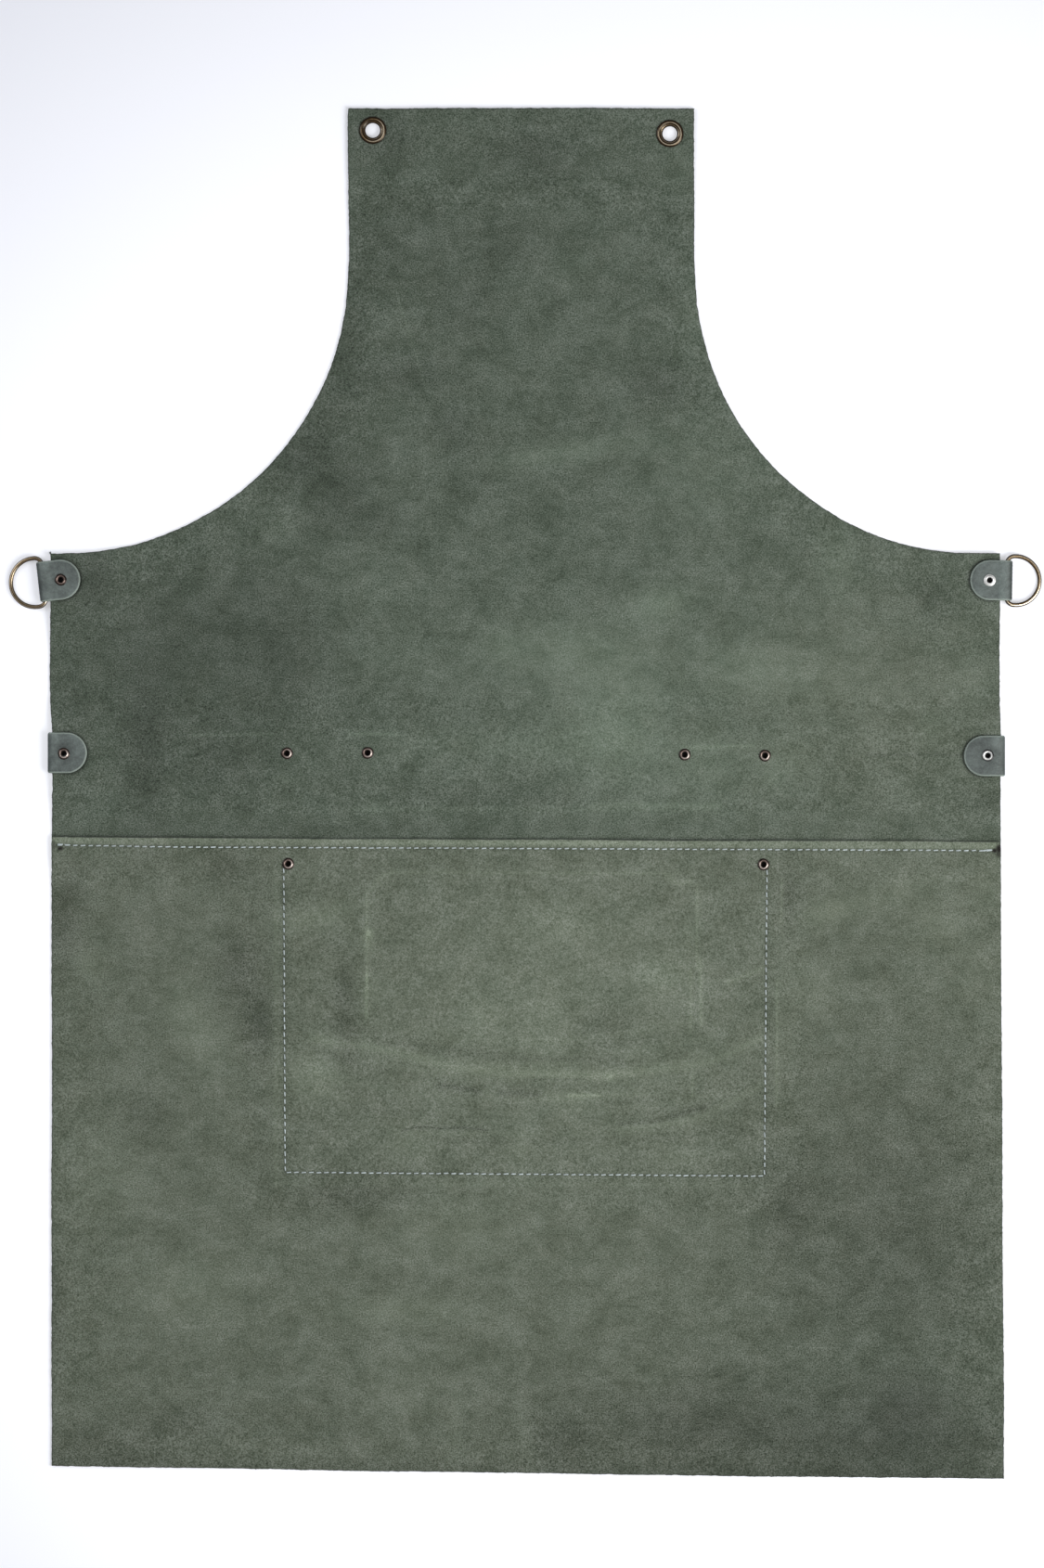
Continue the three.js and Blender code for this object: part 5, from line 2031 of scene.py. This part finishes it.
def surround_world(look):
    """Even light from all round, which metal mirrors weakly and the camera sees as a pale backdrop."""
    world = bpy.data.worlds.new("surround")
    world.use_nodes = True
    tree = world.node_tree
    path = add_node(tree, "LightPath").outputs
    light = spread(tree, path["Is Glossy Ray"], 0.0, 1.0, look.surround, look.surround * look.mirrored)
    seen = math_node(tree, "MULTIPLY", path["Is Camera Ray"], look.backdrop)
    background = tree.nodes["Background"]
    background.inputs["Color"].default_value = SURROUND_COLOUR
    tree.links.new(math_node(tree, "MAXIMUM", light, seen), background.inputs["Strength"])
    return world


def make_stage():
    scene = bpy.context.scene
    look = scene.apron_stage
    add_floor()
    add_camera(look)
    for lamp in LAMPS:
        add_lamp(lamp, getattr(look, lamp.name))
    scene.world = surround_world(look)
    scene.view_settings.view_transform = "Standard"
    scene.view_settings.look = "None"


# Operators

class APRON_OT_bib(Operator):
    """Build the bib panel with its armholes"""

    bl_idname = "apron.bib"
    bl_label = "Bib Panel"

    def execute(self, context):
        make_bib()
        return {"FINISHED"}


class APRON_OT_skirt(Operator):
    """Build the skirt panel that laps over the bib"""

    bl_idname = "apron.skirt"
    bl_label = "Skirt Panel"

    def execute(self, context):
        make_skirt()
        return {"FINISHED"}


class APRON_OT_pocket(Operator):
    """Build the patch pocket on the front"""

    bl_idname = "apron.pocket"
    bl_label = "Front Pocket"

    def execute(self, context):
        make_pocket()
        return {"FINISHED"}


class APRON_OT_strap(Operator):
    """Build the tool strap with its folded ends"""

    bl_idname = "apron.strap"
    bl_label = "Tool Strap"

    def execute(self, context):
        make_strap()
        return {"FINISHED"}


class APRON_OT_ring_tabs(Operator):
    """Build the folded tabs that hold the D-rings"""

    bl_idname = "apron.ring_tabs"
    bl_label = "Ring Tabs"

    def execute(self, context):
        for side in SIDES:
            make_ring_tab(side)
        return {"FINISHED"}


class APRON_OT_d_rings(Operator):
    """Build the D-rings"""

    bl_idname = "apron.d_rings"
    bl_label = "D-Rings"

    def execute(self, context):
        for side in SIDES:
            make_d_ring(side)
        return {"FINISHED"}


class APRON_OT_eyelets(Operator):
    """Build the eyelets of the bib"""

    bl_idname = "apron.eyelets"
    bl_label = "Eyelets"

    def execute(self, context):
        for side in SIDES:
            make_eyelet(side)
        return {"FINISHED"}


class APRON_OT_rivets(Operator):
    """Build the rivets"""

    bl_idname = "apron.rivets"
    bl_label = "Rivets"

    def execute(self, context):
        for seed, name in enumerate(RIVETS):
            make_rivet(name, seed)
        return {"FINISHED"}


class APRON_OT_stitches(Operator):
    """Sew the seam and the pocket"""

    bl_idname = "apron.stitches"
    bl_label = "Stitches"

    def execute(self, context):
        stitches_piece("seam_stitches", SEAM_ROWS, "skirt_panel", "bib_panel", 51)
        stitches_piece("pocket_stitches", POCKET_ROWS, "skirt_panel", "front_pocket", 53)
        return {"FINISHED"}


class APRON_OT_fibres(Operator):
    """Add loose fibres along the raw edges"""

    bl_idname = "apron.fibres"
    bl_label = "Edge Fibres"

    def execute(self, context):
        make_fibres()
        return {"FINISHED"}


class APRON_OT_stage(Operator):
    """Set up the camera, the light and the floor"""

    bl_idname = "apron.stage"
    bl_label = "Stage"

    def execute(self, context):
        make_stage()
        return {"FINISHED"}


OPERATORS = [
    APRON_OT_stage,
    APRON_OT_bib,
    APRON_OT_skirt,
    APRON_OT_pocket,
    APRON_OT_strap,
    APRON_OT_ring_tabs,
    APRON_OT_d_rings,
    APRON_OT_eyelets,
    APRON_OT_rivets,
    APRON_OT_stitches,
    APRON_OT_fibres,
]


class APRON_PT_sidebar(Panel):
    """Lists the pieces of the apron"""

    bl_idname = "APRON_PT_sidebar"
    bl_label = "Leather Apron"
    bl_space_type = "VIEW_3D"
    bl_region_type = "UI"
    bl_category = "Apron"

    def draw(self, context):
        for operator in OPERATORS:
            self.layout.operator(operator.bl_idname)


SETTINGS = {
    "apron_leather": ApronLeather,
    "apron_metal": ApronMetal,
    "apron_thread": ApronThread,
    "apron_stage": ApronStage,
}
CLASSES = [*SETTINGS.values(), *OPERATORS, APRON_PT_sidebar]


def register():
    for cls in CLASSES:
        bpy.utils.register_class(cls)
    for key, group in SETTINGS.items():
        setattr(bpy.types.Scene, key, PointerProperty(type=group))


def unregister():
    for key in SETTINGS:
        delattr(bpy.types.Scene, key)
    for cls in reversed(CLASSES):
        bpy.utils.unregister_class(cls)


def main():
    register()
    for operator in OPERATORS:
        module, name = operator.bl_idname.split(".")
        getattr(getattr(bpy.ops, module), name)()


if __name__ == "__main__":
    main()
